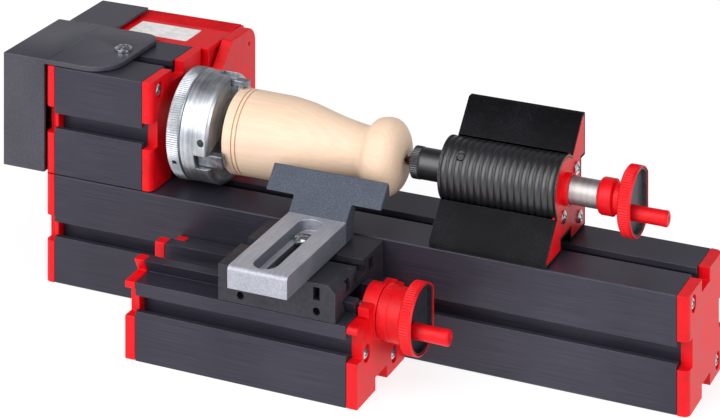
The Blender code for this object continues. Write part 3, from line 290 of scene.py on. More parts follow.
class Look:
    """A Principled material and the nodes that feed it."""

    def __init__(self, name, metallic=0.0, shine=0.5):
        self.material = bpy.data.materials.new(name)
        self.material.use_nodes = True
        self.nodes = self.material.node_tree.nodes
        self.links = self.material.node_tree.links
        self.shader = self.nodes["Principled BSDF"]
        self.feed(self.shader.inputs["Metallic"], metallic)
        self.feed(self.shader.inputs["Specular IOR Level"], shine)

    def feed(self, socket, value):
        if isinstance(value, bpy.types.NodeSocket):
            self.links.new(value, socket)
        else:
            socket.default_value = value

    def math(self, operation, *values):
        node = self.nodes.new("ShaderNodeMath")
        node.operation = operation
        for socket, value in zip(node.inputs, values):
            self.feed(socket, value)
        return node.outputs[0]

    def vector(self, operation, *values):
        node = self.nodes.new("ShaderNodeVectorMath")
        node.operation = operation
        for socket, value in zip(node.inputs, values):
            self.feed(socket, value)
        return node.outputs["Value" if operation == "DOT_PRODUCT" else "Vector"]

    def place(self, centre=(0, 0, 0)):
        coords = self.nodes.new("ShaderNodeTexCoord")
        return self.vector("SUBTRACT", coords.outputs["Object"], centre)

    def about_axis(self, place):
        """(x, distance from the X axis, 0) of a place."""
        parts = self.nodes.new("ShaderNodeSeparateXYZ")
        self.feed(parts.inputs[0], place)
        y, z = parts.outputs["Y"], parts.outputs["Z"]
        square = self.math("ADD", self.math("MULTIPLY", y, y), self.math("MULTIPLY", z, z))
        joined = self.nodes.new("ShaderNodeCombineXYZ")
        self.feed(joined.inputs["X"], parts.outputs["X"])
        self.feed(joined.inputs["Y"], self.math("SQRT", square))
        return joined.outputs[0]

    def noise(self, place, scale, detail=3.0, roughness=0.5, stretch=None):
        if stretch:
            place = self.vector("MULTIPLY", place, stretch)
        node = self.nodes.new("ShaderNodeTexNoise")
        self.feed(node.inputs["Vector"], place)
        self.feed(node.inputs["Scale"], scale)
        self.feed(node.inputs["Detail"], detail)
        self.feed(node.inputs["Roughness"], roughness)
        return node.outputs["Fac"]

    def spread(self, value, low, high, out_low, out_high):
        node = self.nodes.new("ShaderNodeMapRange")
        for socket, given in zip(node.inputs, (value, low, high, out_low, out_high)):
            self.feed(socket, given)
        return node.outputs[0]

    def ramp(self, factor, *stops):
        node = self.nodes.new("ShaderNodeValToRGB")
        elements = node.color_ramp.elements
        while len(elements) < len(stops):
            elements.new(0.5)
        for element, (position, colour) in zip(elements, stops):
            element.position = position
            element.color = colour
        self.feed(node.inputs[0], factor)
        return node.outputs["Color"]

    def mix(self, factor, below, above):
        node = self.nodes.new("ShaderNodeMix")
        node.data_type = "RGBA"
        self.feed(node.inputs["Factor"], factor)
        self.feed(node.inputs[6], below)
        self.feed(node.inputs[7], above)
        return node.outputs[2]

    def bump(self, height, distance, normal=None):
        node = self.nodes.new("ShaderNodeBump")
        self.feed(node.inputs["Distance"], distance)
        self.feed(node.inputs["Height"], height)
        if normal is not None:
            self.feed(node.inputs["Normal"], normal)
        return node.outputs["Normal"]

    def edges(self, radius):
        """How far a point lies on a corner, 0 to 1, and the normal rounded over it."""
        bevel = self.nodes.new("ShaderNodeBevel")
        bevel.samples = 4
        self.feed(bevel.inputs["Radius"], radius)
        geometry = self.nodes.new("ShaderNodeNewGeometry")
        facing = self.vector("DOT_PRODUCT", bevel.outputs[0], geometry.outputs["Normal"])
        return self.spread(facing, 0.985, 0.80, 0.0, 1.0), bevel.outputs[0]

    def finish(self, colour, roughness, normal):
        self.feed(self.shader.inputs["Base Color"], colour)
        self.feed(self.shader.inputs["Roughness"], roughness)
        self.feed(self.shader.inputs["Normal"], normal)
        return self.material


def surface(name, tones, rough, metallic=0.0, stretch=(1, 1, 1), grain=400.0, cloud=70.0,
            axis=None, speck=2600.0, relief=(0.01, 0.01), rounding=0.25,
            wear_and_highlight_colour=None, wear_and_highlight_amount=0.5, shine=0.5):
    """A three-tone surface: grain, clouding, fine specks, rounded edges tinted as wear and painted highlight.

    axis is the (y, z) of a turned piece whose grain runs round X. relief is the
    height of the specks and of the grain, in millimetres.
    """
    look = Look(name, metallic, shine)
    centre = (0, axis[0], axis[1]) if axis else (0, 0, 0)
    place = look.place(centre)
    lined = look.about_axis(place) if axis else place
    line = look.noise(lined, grain, 4.0, 0.6, stretch)
    patch = look.noise(place, cloud, 4.0, 0.55)
    fleck = look.noise(place, speck, 2.0, 0.5)
    blend = look.math("ADD", look.math("MULTIPLY", line, 0.55), look.math("MULTIPLY", patch, 0.45))
    colour = look.ramp(blend, (0.38, tones[0]), (0.5, tones[1]), (0.62, tones[2]))
    corner, rounded = look.edges(rounding * MM)
    # corners take a colour that paints wear and an edge highlight together
    if wear_and_highlight_colour:
        wear_and_highlight_mask = look.math("MULTIPLY", corner, look.spread(patch, 0.35, 0.65, 0.0, wear_and_highlight_amount))
        colour = look.mix(wear_and_highlight_mask, colour, wear_and_highlight_colour)
    roughness = look.spread(blend, 0.35, 0.65, rough[0], rough[1])
    normal = look.bump(fleck, relief[0] * MM, rounded)
    normal = look.bump(line, relief[1] * MM, normal)
    return look.finish(colour, roughness, normal)


def red_plastic():
    tones = (srgb(208, 2, 14), srgb(222, 3, 18), srgb(234, 8, 24))
    return surface("red_moulding", tones, (0.36, 0.48), grain=160.0, cloud=45.0, speck=1500.0,
                   relief=(0.012, 0.008), rounding=0.35, wear_and_highlight_colour=srgb(250, 96, 92), wear_and_highlight_amount=0.35,
                   shine=0.28)


def shaded_red():
    # a rougher, darker copy of the red: the darkness is painted shade on the grip strip
    tones = (srgb(188, 0, 12), srgb(208, 2, 16), srgb(224, 6, 22))
    return surface("shaded_red_grip", tones, (0.45, 0.6), grain=260.0, speck=1700.0, shine=0.15,
                   relief=(0.012, 0.01), rounding=0.15, wear_and_highlight_colour=srgb(236, 60, 60), wear_and_highlight_amount=0.3)


def anodised():
    tones = (srgb(44, 42, 52), srgb(53, 51, 62), srgb(62, 60, 72))
    return surface("anodised_extrusion", tones, (0.32, 0.42), metallic=0.25, stretch=(0.012, 1, 1),
                   grain=2600.0, cloud=14.0, speck=4000.0, relief=(0.002, 0.007), rounding=0.3,
                   wear_and_highlight_colour=srgb(128, 126, 138), wear_and_highlight_amount=0.55, shine=0.35)


def enamel():
    tones = (srgb(48, 47, 56), srgb(57, 56, 66), srgb(66, 65, 77))
    # the pale edge colour paints the guard's edge highlights as well as wear
    return surface("guard_enamel", tones, (0.34, 0.42), grain=900.0, cloud=30.0, speck=2200.0,
                   relief=(0.004, 0.004), rounding=0.45, wear_and_highlight_colour=srgb(150, 150, 162), wear_and_highlight_amount=0.9,
                   shine=0.55)


def black_casting(name, reach):
    """Matt black paint with a fine grain, polished within a reach of the spindle line."""
    look = Look(name)
    place = look.place((0, *SPINDLE_LINE))
    parts = look.nodes.new("ShaderNodeSeparateXYZ")
    look.feed(parts.inputs[0], look.about_axis(place))
    polished = look.spread(parts.outputs["Y"], reach, reach + 0.15 * MM, 1.0, 0.0)
    fleck = look.noise(place, 1500.0, 3.0, 0.6)
    patch = look.noise(place, 45.0, 4.0, 0.55)
    blend = look.math("ADD", look.math("MULTIPLY", fleck, 0.6), look.math("MULTIPLY", patch, 0.4))
    matt = look.ramp(blend, (0.4, srgb(6, 6, 8)), (0.52, srgb(11, 11, 14)), (0.62, srgb(26, 26, 31)))
    smooth = look.ramp(patch, (0.4, srgb(14, 14, 17)), (0.6, srgb(24, 24, 28)))
    colour = look.mix(polished, matt, smooth)
    corner, rounded = look.edges(0.25 * MM)
    # light grey corners: wear and a painted edge highlight
    wear_and_highlight_mask = look.math("MULTIPLY", corner, look.spread(patch, 0.35, 0.65, 0.2, 0.8))
    colour = look.mix(wear_and_highlight_mask, colour, srgb(112, 112, 118))
    dull = look.spread(fleck, 0.3, 0.7, 0.5, 0.66)
    look.feed(look.shader.inputs["Specular IOR Level"], look.spread(polished, 0.0, 1.0, 0.12, 0.9))
    roughness = look.math("MULTIPLY", dull, look.spread(polished, 0.0, 1.0, 1.0, 0.62))
    normal = look.bump(fleck, look.spread(polished, 0.0, 1.0, 0.02 * MM, 0.001 * MM), rounded)
    return look.finish(colour, roughness, normal)


def grey_plastic(name, tones):
    return surface(name, tones, (0.42, 0.55), grain=500.0, cloud=40.0, speck=1800.0, shine=0.35,
                   relief=(0.015, 0.008), rounding=0.3, wear_and_highlight_colour=srgb(112, 112, 122), wear_and_highlight_amount=0.6)


def zinc(name, tones, axis=None):
    return surface(name, tones, (0.3, 0.42), metallic=0.9, grain=500.0, cloud=130.0, axis=axis,
                   speck=1500.0, relief=(0.015, 0.004), rounding=0.3, wear_and_highlight_colour=srgb(228, 230, 232),
                   wear_and_highlight_amount=0.8)


def cast_aluminium():
    """Milled light on the bar, raw and darker on the leaning neck and blade."""
    look = Look("cast_aluminium", 0.35)
    place = look.place()
    parts = look.nodes.new("ShaderNodeSeparateXYZ")
    look.feed(parts.inputs[0], place)
    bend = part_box("tool_rest")[1].y - REST_BEND
    faces = look.nodes.new("ShaderNodeSeparateXYZ")
    look.feed(faces.inputs[0], look.nodes.new("ShaderNodeNewGeometry").outputs["Normal"])
    behind = look.spread(parts.outputs["Y"], bend - 0.2 * MM, bend + 0.2 * MM, 0.0, 1.0)
    flank = look.spread(look.math("ABSOLUTE", faces.outputs["X"]), 0.6, 0.9, 0.0, 0.7)
    raw = look.math("MAXIMUM", behind, flank)
    fleck = look.noise(place, 1700.0, 4.0, 0.65)
    patch = look.noise(place, 130.0, 4.0, 0.6)
    mill = look.noise(place, 1600.0, 3.0, 0.5, (1, 0.05, 1))
    blend = look.math("ADD", look.math("MULTIPLY", fleck, 0.4), look.math("MULTIPLY", patch, 0.2))
    blend = look.math("ADD", blend, look.math("MULTIPLY", mill, 0.4))
    smooth = look.ramp(blend, (0.38, srgb(150, 152, 162)), (0.5, srgb(168, 170, 180)),
                       (0.62, srgb(186, 188, 196)))
    coarse = look.math("ADD", look.math("MULTIPLY", fleck, 0.85), look.math("MULTIPLY", patch, 0.15))
    rough_cast = look.ramp(coarse, (0.36, srgb(58, 64, 76)), (0.5, srgb(70, 76, 89)),
                           (0.64, srgb(88, 94, 107)))
    colour = look.mix(raw, smooth, rough_cast)
    corner, rounded = look.edges(0.3 * MM)
    # pale corners: wear and a painted edge highlight
    wear_and_highlight_mask = look.math("MULTIPLY", corner, look.spread(patch, 0.3, 0.6, 0.5, 1.0))
    colour = look.mix(wear_and_highlight_mask, colour, srgb(222, 225, 230))
    roughness = look.math("ADD", look.spread(blend, 0.35, 0.65, 0.36, 0.5),
                          look.math("MULTIPLY", raw, 0.08))
    normal = look.bump(fleck, 0.025 * MM, rounded)
    return look.finish(colour, roughness, look.bump(mill, 0.006 * MM, normal))


def bright_steel():
    tones = (srgb(150, 152, 156), srgb(205, 207, 210), srgb(238, 239, 240))
    return surface("bright_steel", tones, (0.14, 0.28), metallic=1.0, grain=900.0, cloud=160.0,
                   speck=2500.0, relief=(0.008, 0.008), rounding=0.15,
                   wear_and_highlight_colour=srgb(250, 250, 250), wear_and_highlight_amount=0.4)


def turned_steel(name, axis):
    tones = (srgb(162, 157, 156), srgb(176, 171, 170), srgb(192, 187, 185))
    return surface(name, tones, (0.4, 0.5), metallic=0.9, grain=500.0, cloud=60.0, axis=axis,
                   speck=3000.0, relief=(0.0005, 0.0004), rounding=0.2,
                   wear_and_highlight_colour=srgb(216, 213, 210), wear_and_highlight_amount=0.6)


def belt_rubber():
    tones = (srgb(16, 16, 16), srgb(26, 26, 26), srgb(38, 38, 38))
    return surface("belt_rubber", tones, (0.6, 0.8), grain=1200.0, speck=2500.0,
                   relief=(0.03, 0.02), wear_and_highlight_colour=srgb(60, 60, 60), wear_and_highlight_amount=0.5)


def centre_brown():
    # dark brown metal for the centre tip
    tones = (srgb(52, 30, 24), srgb(78, 46, 34), srgb(112, 70, 52))
    return surface("dark_brown_tip", tones, (0.3, 0.45), metallic=0.8, grain=1800.0, axis=SPINDLE_LINE,
                   relief=(0.01, 0.01), rounding=0.1)


def paper():
    tones = (srgb(226, 222, 220), srgb(240, 237, 235), srgb(250, 248, 246))
    return surface("blank_label", tones, (0.45, 0.6), grain=300.0, cloud=80.0, speck=2200.0,
                   relief=(0.006, 0.003), rounding=0.1, wear_and_highlight_colour=srgb(200, 190, 188), wear_and_highlight_amount=0.5)


def pale_wood():
    """Sanded wood turned from a plank: faint growth rings, long fibres and short pores."""
    heart = (0, 0.085, -0.045)
    rings_per_metre = 3600.0
    look = Look("pale_wood", shine=0.35)
    look.feed(look.shader.inputs["Coat Weight"], 0.03)
    look.feed(look.shader.inputs["Coat Roughness"], 0.15)
    place = look.place(heart)
    warp = look.noise(place, 24.0, 3.0, 0.5, (0.35, 1, 1))
    parts = look.nodes.new("ShaderNodeSeparateXYZ")
    look.feed(parts.inputs[0], place)
    y, z = parts.outputs["Y"], parts.outputs["Z"]
    square = look.math("ADD", look.math("MULTIPLY", y, y), look.math("MULTIPLY", z, z))
    reach = look.math("ADD", look.math("SQRT", square), look.math("MULTIPLY", warp, 0.006))
    ring = look.math("SINE", look.math("MULTIPLY", reach, rings_per_metre))
    ring = look.spread(ring, -1.0, 1.0, 0.3, 0.7)
    fibre = look.noise(place, 900.0, 3.0, 0.6, (0.03, 1, 1))
    pore = look.noise(place, 1500.0, 2.0, 0.5, (0.09, 1, 1))
    cloud = look.noise(place, 40.0, 3.0, 0.5, (0.5, 1, 1))
    tone = look.math("ADD", look.math("MULTIPLY", ring, 0.16), look.math("MULTIPLY", fibre, 0.44))
    tone = look.math("ADD", tone, look.math("MULTIPLY", cloud, 0.40))
    light, warm, deep = srgb(241, 213, 188), srgb(237, 207, 180), srgb(232, 200, 171)
    colour = look.ramp(tone, (0.36, deep), (0.5, warm), (0.64, light))
    dark_pore = look.spread(pore, 0.68, 0.78, 0.0, 0.22)
    colour = look.mix(dark_pore, colour, srgb(196, 150, 108))
    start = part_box("workpiece")[0].x
    for groove in GROOVES:
        away = look.math("ABSOLUTE", look.math("SUBTRACT", parts.outputs["X"], start + groove))
        dark = look.spread(away, 0.05 * MM, 0.4 * MM, 0.75, 0.0)
        colour = look.mix(dark, colour, srgb(168, 108, 70))
    roughness = look.spread(fibre, 0.3, 0.7, 0.5, 0.64)
    normal = look.bump(fibre, 0.012 * MM)
    normal = look.bump(pore, -0.01 * MM, normal)
    look.feed(look.shader.inputs["Subsurface Weight"], 0.1)
    look.feed(look.shader.inputs["Subsurface Radius"], (0.004, 0.002, 0.001))
    return look.finish(colour, roughness, normal)


def floor_white():
    look = Look("studio_floor", shine=0.1)
    look.feed(look.shader.inputs["Emission Color"], (1, 1, 1, 1))
    look.feed(look.shader.inputs["Emission Strength"], 0.8)
    place = look.place()
    cloud = look.noise(place, 3.0, 2.0)
    colour = look.ramp(cloud, (0.3, srgb(140, 140, 142)), (0.7, srgb(146, 146, 148)))
    return look.finish(colour, 0.7, look.bump(cloud, 0.01 * MM))


RED = red_plastic()
ANODISED = anodised()
ENAMEL = enamel()
CASTING = black_casting("black_casting", 13.95 * MM)
POLISHED = black_casting("black_polished", 1.0)
GREY = grey_plastic("grey_moulding", (srgb(36, 35, 42), srgb(44, 43, 51), srgb(53, 52, 61)))
GREY_DISC = grey_plastic("grey_disc", (srgb(62, 65, 70), srgb(74, 77, 82), srgb(88, 91, 96)))
ZINC = zinc("zinc_casting", (srgb(96, 101, 108), srgb(124, 129, 136), srgb(160, 164, 169)))
ZINC_TURNED = zinc(
    "zinc_turned", (srgb(150, 155, 162), srgb(180, 184, 189), srgb(208, 211, 214)), (0, 0)
)
ALUMINIUM = cast_aluminium()
CHROME = bright_steel()
STEEL = turned_steel("turned_steel", SPINDLE_LINE)
STEEL_OWN = turned_steel("turned_steel_own", (0, 0))


# ---------------------------------------------------------------- profiles, caps and screws


def tongues(cap, x_from, x_to, centre, sides):
    """The tongues by which an end cap grips in its profile's slots."""
    name = cap + "_tongues"
    y_mid, z_mid = centre
    half = PROFILE / 2
    wide = SLOT_HALF - 0.35 * MM
    mouth = MOUTH_HALF - 0.4 * MM
    rows = []
    for side in sides:
        way = -1 if side == "front" else 1
        inner = half - SLOT_DEEP + 0.3 * MM
        outer = half - SLOT_LIP - 0.3 * MM
        spans = ((wide, inner, outer), (mouth, outer - 0.2 * MM, half - 1.1 * MM))
        for reach, near, far in spans:
            near, far = sorted((way * near, way * far))
            if side == "top":
                low = (x_from, y_mid - reach, z_mid + near)
                high = (x_to, y_mid + reach, z_mid + far)
            else:
                low = (x_from, y_mid + near, z_mid - reach)
                high = (x_to, y_mid + far, z_mid + reach)
            rows.append((low, high))
    piece = put(name, boxes(name, rows))
    round_edges(piece, 0.15, 1)
    apply_modifiers(piece)
    settle(piece, RED, cap)


def build_profiles():
    """The three extrusions, and the cap tongues that show in the left ends of their slots."""
    for node in ("bed_profile", "headstock_profile", "slide_profile"):
        painted(node, ANODISED)
    reach = 1.3 * MM
    gap = 0.4 * MM
    sides = {"bed": ("front", "back", "top"), "headstock": ("front", "back"), "slide": ("front",)}
    for prefix, used in sides.items():
        low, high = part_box(prefix + "_profile")
        centre = ((low.y + high.y) / 2, low.z + PROFILE / 2)
        tongues(prefix + "_cap_left", low.x - gap, low.x + reach, centre, used)


def build_caps():
    """The red end caps, with softly rounded edges."""
    for prefix in ("bed", "headstock"):
        for side in ("left", "right"):
            node = f"{prefix}_cap_{side}"
            refined(node, RED, 0.45)
    refined("slide_cap_left", RED, 0.4)


def screw_head(node, look, radius, head, recess="cross"):
    """A pan head with a cross or a slot, on its shank, seated where the CAD screw is."""
    low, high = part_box(node)
    upright = (high.z - low.z) > 1.4 * (high.y - low.y)
    centre = middle(node)
    if upright:
        length = high.z - low.z
        place = (centre.x, centre.y, high.z)
    else:
        length = high.x - low.x
        place = (high.x, centre.y, centre.z)
    shank = radius * 0.48
    dome = []
    for k in range(1, 6):
        drop = k / 5
        dome.append((-drop * head * 0.45, radius * math.sin(math.acos(1 - drop * 0.55))))
    profile = [(0, 0), *dome, (-head * 0.55, radius), (-head, radius), (-head, shank), (-length, shank)]
    piece = put(node + "_fine", turned(node + "_fine", profile, 36))
    depth, blade, reach = head * 0.75, radius * 0.13, radius * 0.62
    if recess == "slot":
        depth, blade, reach = head * 0.45, radius * 0.16, radius * 1.2
    arms = [((-depth, -blade, -reach), (depth, blade, reach))]
    if recess == "cross":
        arms.append(((-depth, -reach, -blade), (depth, reach, blade)))
    for number, arm in enumerate(arms):
        tool = boxes(f"{node}_arm_{number}", [arm])
        cut(piece, tool, Matrix.Rotation(math.radians(27), 4, "X"))
    if upright:
        stand(piece.data)
    piece.location = place
    settle(piece, look, node, (node,), 40)


def build_screws():
    small, small_head = 2.8 * MM, 1.5 * MM
    for prefix in ("bed", "headstock"):
        for side in ("upper", "lower"):
            screw_head(f"{prefix}_cap_screw_{side}", CHROME, small, small_head)
    for number in (1, 2, 3):
        screw_head(f"end_plate_screw_{number}", CHROME, small, small_head)
    for number in (1, 2):
        screw_head(f"slide_cap_screw_{number}", CHROME, small, small_head)
    screw_head("guard_screw", CHROME, 4.1 * MM, 2.4 * MM)
    screw_head("rest_clamp_screw", CHROME, 4.4 * MM, 2.8 * MM, "slot")


# ---------------------------------------------------------------- spindle, chuck and work


def build_scroll_ring():
    """The chuck's knurled ring, with its two bar holes."""
    low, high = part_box("chuck_scroll_ring")
    radius = (high.z - low.z) / 2
    bore = 15.3 * MM
    edge = 0.5 * MM
    depth = 0.34 * MM
    home = Matrix.Translation((0, *SPINDLE_LINE))
    lay = Matrix.Rotation(math.pi / 2, 4, "Z")
    profile = [
        (low.x, bore),
        (low.x, radius - edge - depth),
        (low.x + edge, radius - depth),
        (low.x + edge + 0.05 * MM, radius),
        (high.x - edge - 0.05 * MM, radius),
        (high.x - edge, radius - depth),
        (high.x, radius - edge - depth),
        (high.x, bore),
    ]
    ripple = (low.x + edge + 0.04 * MM, high.x - edge - 0.04 * MM, 150, depth)
    mesh = turned("chuck_scroll_ring_fine", profile, 600, ring=True, ripple=ripple)
    ring = put("chuck_scroll_ring_fine", mesh, (0, *SPINDLE_LINE))
    for turn in (-155, 25):
        hole = rod("ring_hole", 0, 5 * MM, 1.2 * MM, 24)
        spin = Matrix.Rotation(math.radians(turn), 4, "X")
        sink = Matrix.Translation((low.x + 3.6 * MM, radius - 3 * MM, 0))
        cut(ring, hole, home @ spin @ sink @ lay)
    settle(ring, ZINC_TURNED, "chuck_scroll_ring", ("chuck_scroll_ring",))


def build_chuck():
    """The chuck's body with its jaw ways and bar holes, and the three jaws."""
    low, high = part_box("chuck_body")
    radius = (high.z - low.z) / 2
    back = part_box("chuck_scroll_ring")[1].x + 0.3 * MM
    hub = 15.0 * MM
    bore = 5.6 * MM
    front = high.x
    profile = [
        (low.x, 7.3 * MM),
        (low.x, hub),
        (back, hub),
        (back, radius - 0.4 * MM),
        (back + 0.4 * MM, radius),
        (front - 1.5 * MM, radius),
        (front - 1.3 * MM, radius - 0.05 * MM),
        (front - 0.6 * MM, radius - 0.5 * MM),
        (front, radius - 1.3 * MM),
        (front, 12.2 * MM),
        (front - 0.3 * MM, 11.9 * MM),
        (front - 0.3 * MM, 9.0 * MM),
        (front, 8.7 * MM),
        (front, bore + 0.6 * MM),
        (front - 0.6 * MM, bore),
        (front - 12 * MM, bore),
        (front - 12 * MM, 7.3 * MM),
    ]
    mesh = turned("chuck_body_fine", profile, 144, ring=True)
    body = put("chuck_body_fine", mesh, (0, *SPINDLE_LINE))
    home = Matrix.Translation((0, *SPINDLE_LINE))
    lay = Matrix.Rotation(math.pi / 2, 4, "Z")
    half = 3.7 * MM
    for name in ("jaw_1_open", "jaw_2_open", "jaw_3_open"):
        axis = next(j["axis"] for j in frame["joints"] if j["name"] == name)
        spin = Matrix.Rotation(math.atan2(axis[2], axis[1]), 4, "X")
        slot = boxes("jaw_way", [((front - 7.1 * MM, 5 * MM, -half), (front + 5 * MM, 30 * MM, half))])
        cut(body, slot, home @ spin)
    for k in range(3):
        hole = rod("tommy_hole", 0, 8 * MM, 1.7 * MM, 28)
        spin = Matrix.Rotation(math.radians(177 + 120 * k), 4, "X")
        sink = Matrix.Translation((front - 3.3 * MM, radius - 6 * MM, 0))
        cut(body, hole, home @ spin @ sink @ lay)
    settle(body, ZINC_TURNED, "chuck_body", ("chuck_body",))
    for number in (1, 2, 3):
        refined(f"chuck_jaw_{number}", ZINC, 0.45)


def scribed(line, start):
    """An (x, radius) line with narrow flat-bottomed grooves at GROOVES from start."""
    sunk = []
    for x, r in line:
        for groove in GROOVES:
            away = abs(x - start - groove) / GROOVE_HALF
            if away < 1:
                r -= GROOVE_DEEP * (1 - away)
        sunk.append((x, r))
    fine = []
    corners = (
        (-GROOVE_HALF, 0),
        (-GROOVE_FLOOR, GROOVE_DEEP),
        (GROOVE_FLOOR, GROOVE_DEEP),
        (GROOVE_HALF, 0),
    )
    for (x, r), (after, r_after) in zip(sunk, sunk[1:]):
        fine.append((x, r))
        for groove in GROOVES:
            for step, dip in corners:
                place = start + groove + step
                if x < place < after:
                    share = (place - x) / (after - x)
                    fine.append((place, r + (r_after - r) * share - dip))
    return [*fine, sunk[-1]]


def build_work():
    """The turned handle, from millimetres along it and millimetres of radius."""
    low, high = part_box("workpiece")
    taper = [
        (0.6, 18.9), (3.9, 18.88), (8.5, 18.82), (13.0, 18.75), (18.0, 18.7), (24.5, 18.6),
        (30.5, 18.0), (36.5, 17.1), (44.0, 15.3), (52.0, 13.5), (60.5, 12.1), (64.0, 11.8),
    ]
    bulb = [
        (66.0, 12.6), (67.8, 14.5), (69.3, 15.7), (71.5, 16.45), (74.5, 16.8), (77.0, 16.4),
        (78.8, 15.4), (80.4, 13.9), (81.6, 12.2), (82.5, 9.9), (83.1, 7.0), (83.4, 4.4), (83.5, 2.9),
    ]
    line = smooth_line([(low.x + x * MM, r * MM) for x, r in taper + bulb], 5)
    start = [(low.x, 0), (low.x, 17.9 * MM), (low.x + 0.2 * MM, 18.5 * MM)]
    pit = [(high.x, 2.4 * MM), (high.x - 0.3 * MM, 1.9 * MM), (high.x - 2.1 * MM, 0)]
    mesh = turned("workpiece_fine", start + scribed(line, low.x) + pit, 128)
    piece = put("workpiece_fine", mesh, (0, *SPINDLE_LINE))
    settle(piece, pale_wood(), "workpiece", ("workpiece",), 40)


def build_spindle():
    painted("spindle_shaft", STEEL)
    for node in ("spindle_bearing_front", "spindle_bearing_rear"):
        painted(node, STEEL)
    painted("spindle_pulley", GREY)
    painted("motor_pulley", GREY)
    painted("drive_belt", belt_rubber())


# ---------------------------------------------------------------- guards and motor


def build_guards():
    """The two belt covers, and the fold line across the top of the outer one."""
    low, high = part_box("belt_guard")
    fold = low.x + 24.1 * MM
    width, depth, over = 0.3 * MM, 0.25 * MM, 1 * MM
    line_low = (fold, low.y - over, high.z - depth)
    line_high = (fold + width, high.y + over, high.z + over)
    guard = refined("belt_guard", ENAMEL, 0.4)
    cut(guard, boxes("guard_fold", [(line_low, line_high)]))
    refined("rear_belt_guard", ENAMEL, 1.2)
    painted("guard_nut", STEEL)


def build_motor():
    """The motor in its red case: vent, baffle, grip strip darkened by painted shade, and a blank label."""
    refined("motor_housing", RED, 0.5)
    low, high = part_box("motor_housing")
    cap_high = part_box("motor_end_cap")[1]
    hole = rod("vent", 0, 6 * MM, 0.8 * MM, 20)
    vent = (cap_high.x - 3 * MM, cap_high.y - 7.0 * MM, cap_high.z - 7.3 * MM)
    hole.transform(Matrix.Translation(vent))
    refined("motor_end_cap", RED, 0.6, tools=(hole,))

    wall = 2.0 * MM
    inner_low = (high.x - 3 * MM, low.y + wall, low.z + wall)
    inner_high = (high.x - 1.2 * MM, high.y - wall, high.z - wall - 0.3 * MM)
    baffle = put("motor_baffle", boxes("motor_baffle", [(inner_low, inner_high)]))
    round_edges(baffle, 0.5)
    apply_modifiers(baffle)
    settle(baffle, RED, "motor_housing")

    start, end = low.y + 24.0 * MM, high.y - 1.6 * MM
    inset, half, sunk, proud = 0.8 * MM, 0.22 * MM, 0.5 * MM, 0.12 * MM
    count = 14
    ribs = []
    for k in range(count):
        y = start + (end - start) * (k + 0.5) / count
        rib_low = (low.x + inset, y - half, high.z - sunk)
        rib_high = (high.x - inset, y + half, high.z + proud)
        ribs.append((rib_low, rib_high))
    strip = put("motor_grip", boxes("motor_grip", ribs))
    settle(strip, shaded_red(), "motor_housing")

    left, right = low.x + 7.0 * MM, low.x + 39.4 * MM
    front, back = low.y + 4.4 * MM, low.y + 20.4 * MM
    corner = 0.8 * MM
    outline = [
        *arc((right - corner, front + corner), corner, -90, 0, 5),
        *arc((right - corner, back - corner), corner, 0, 90, 5),
        *arc((left + corner, back - corner), corner, 90, 180, 5),
        *arc((left + corner, front + corner), corner, 180, 270, 5),
    ]
    mesh = prism("motor_label", outline, high.z - 0.05 * MM, high.z + 0.09 * MM, "Z")
    settle(put("motor_label", mesh), paper(), "motor_housing")
    painted("motor_can", turned_steel("motor_steel", (middle("motor_can").y, middle("motor_can").z)))
    painted("motor_rotor", STEEL)


# ---------------------------------------------------------------- tailstock


def build_tailstock():
    """The tailstock's casting with its ribbed barrel, and its red end plate."""
    low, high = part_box("tailstock_body")
    outer = 13.93 * MM
    deep = 0.95 * MM
    count = 17
    start, end = low.x + 1.0 * MM, high.x - 0.9 * MM
    pitch = (end - start) / count
    steps = 10
    inside = []
    for k in range(count * steps + 1):
        across = 2 * (k % steps) / steps - 1
        dip = deep * (1 - math.sqrt(max(0.0, 1 - (abs(across) * 0.98) ** 2.4)))
        inside.append((start + pitch * k / steps, outer - dip))
    clear = outer + 1.2 * MM
    tool = turned("rib_cut", [(start, clear), *inside, (end, clear)], 96, ring=True)
    tool.transform(Matrix.Translation((0, *SPINDLE_LINE)))
    refined("tailstock_body", CASTING, 0.0, tools=(tool,))
    refined("tailstock_end_plate", RED, segments=2)
    painted("tailstock_grub_screw", CASTING)


def build_quill():
    """The tail spindle, and the knurled black sleeve that holds its centre."""
    low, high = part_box("tail_spindle")
    quill = (high.z - low.z) / 2
    shaft = 3.0 * MM
    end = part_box("tail_handwheel")[0].x - 0.3 * MM
    profile = [
        (low.x, 0),
        (low.x, quill - 0.2 * MM),
        (low.x + 0.2 * MM, quill),
        (end - 0.25 * MM, quill),
        (end, quill - 0.25 * MM),
        (end, shaft),
        (high.x, shaft),
        (high.x, 0),
    ]
    spindle = put("tail_spindle_fine", turned("tail_spindle_fine", profile, 96), (0, *SPINDLE_LINE))
    settle(spindle, STEEL_OWN, "tail_spindle", ("tail_spindle",))
    painted("center_tip", centre_brown())

    low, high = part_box("center_sleeve")
    grip = low.x + 4.3 * MM
    profile = [
        (low.x, 2.6 * MM),
        (low.x, 5.6 * MM),
        (low.x + 0.7 * MM, 6.6 * MM),
        (low.x + 0.8 * MM, 7.0 * MM),
        (grip - 0.1 * MM, 7.0 * MM),
        (grip, 6.6 * MM),
        (grip + 0.5 * MM, 6.3 * MM),
        (grip + 0.9 * MM, 6.8 * MM),
        (high.x, 6.8 * MM),
        (high.x, 2.6 * MM),
    ]
    ripple = (low.x + 0.75 * MM, grip - 0.05 * MM, 44, 0.3 * MM)
    mesh = turned("center_sleeve_fine", profile, 264, ring=True, ripple=ripple)
    sleeve = put("center_sleeve_fine", mesh, (0, *SPINDLE_LINE))
    settle(sleeve, POLISHED, "center_sleeve", ("center_sleeve",))


# ---------------------------------------------------------------- handwheels


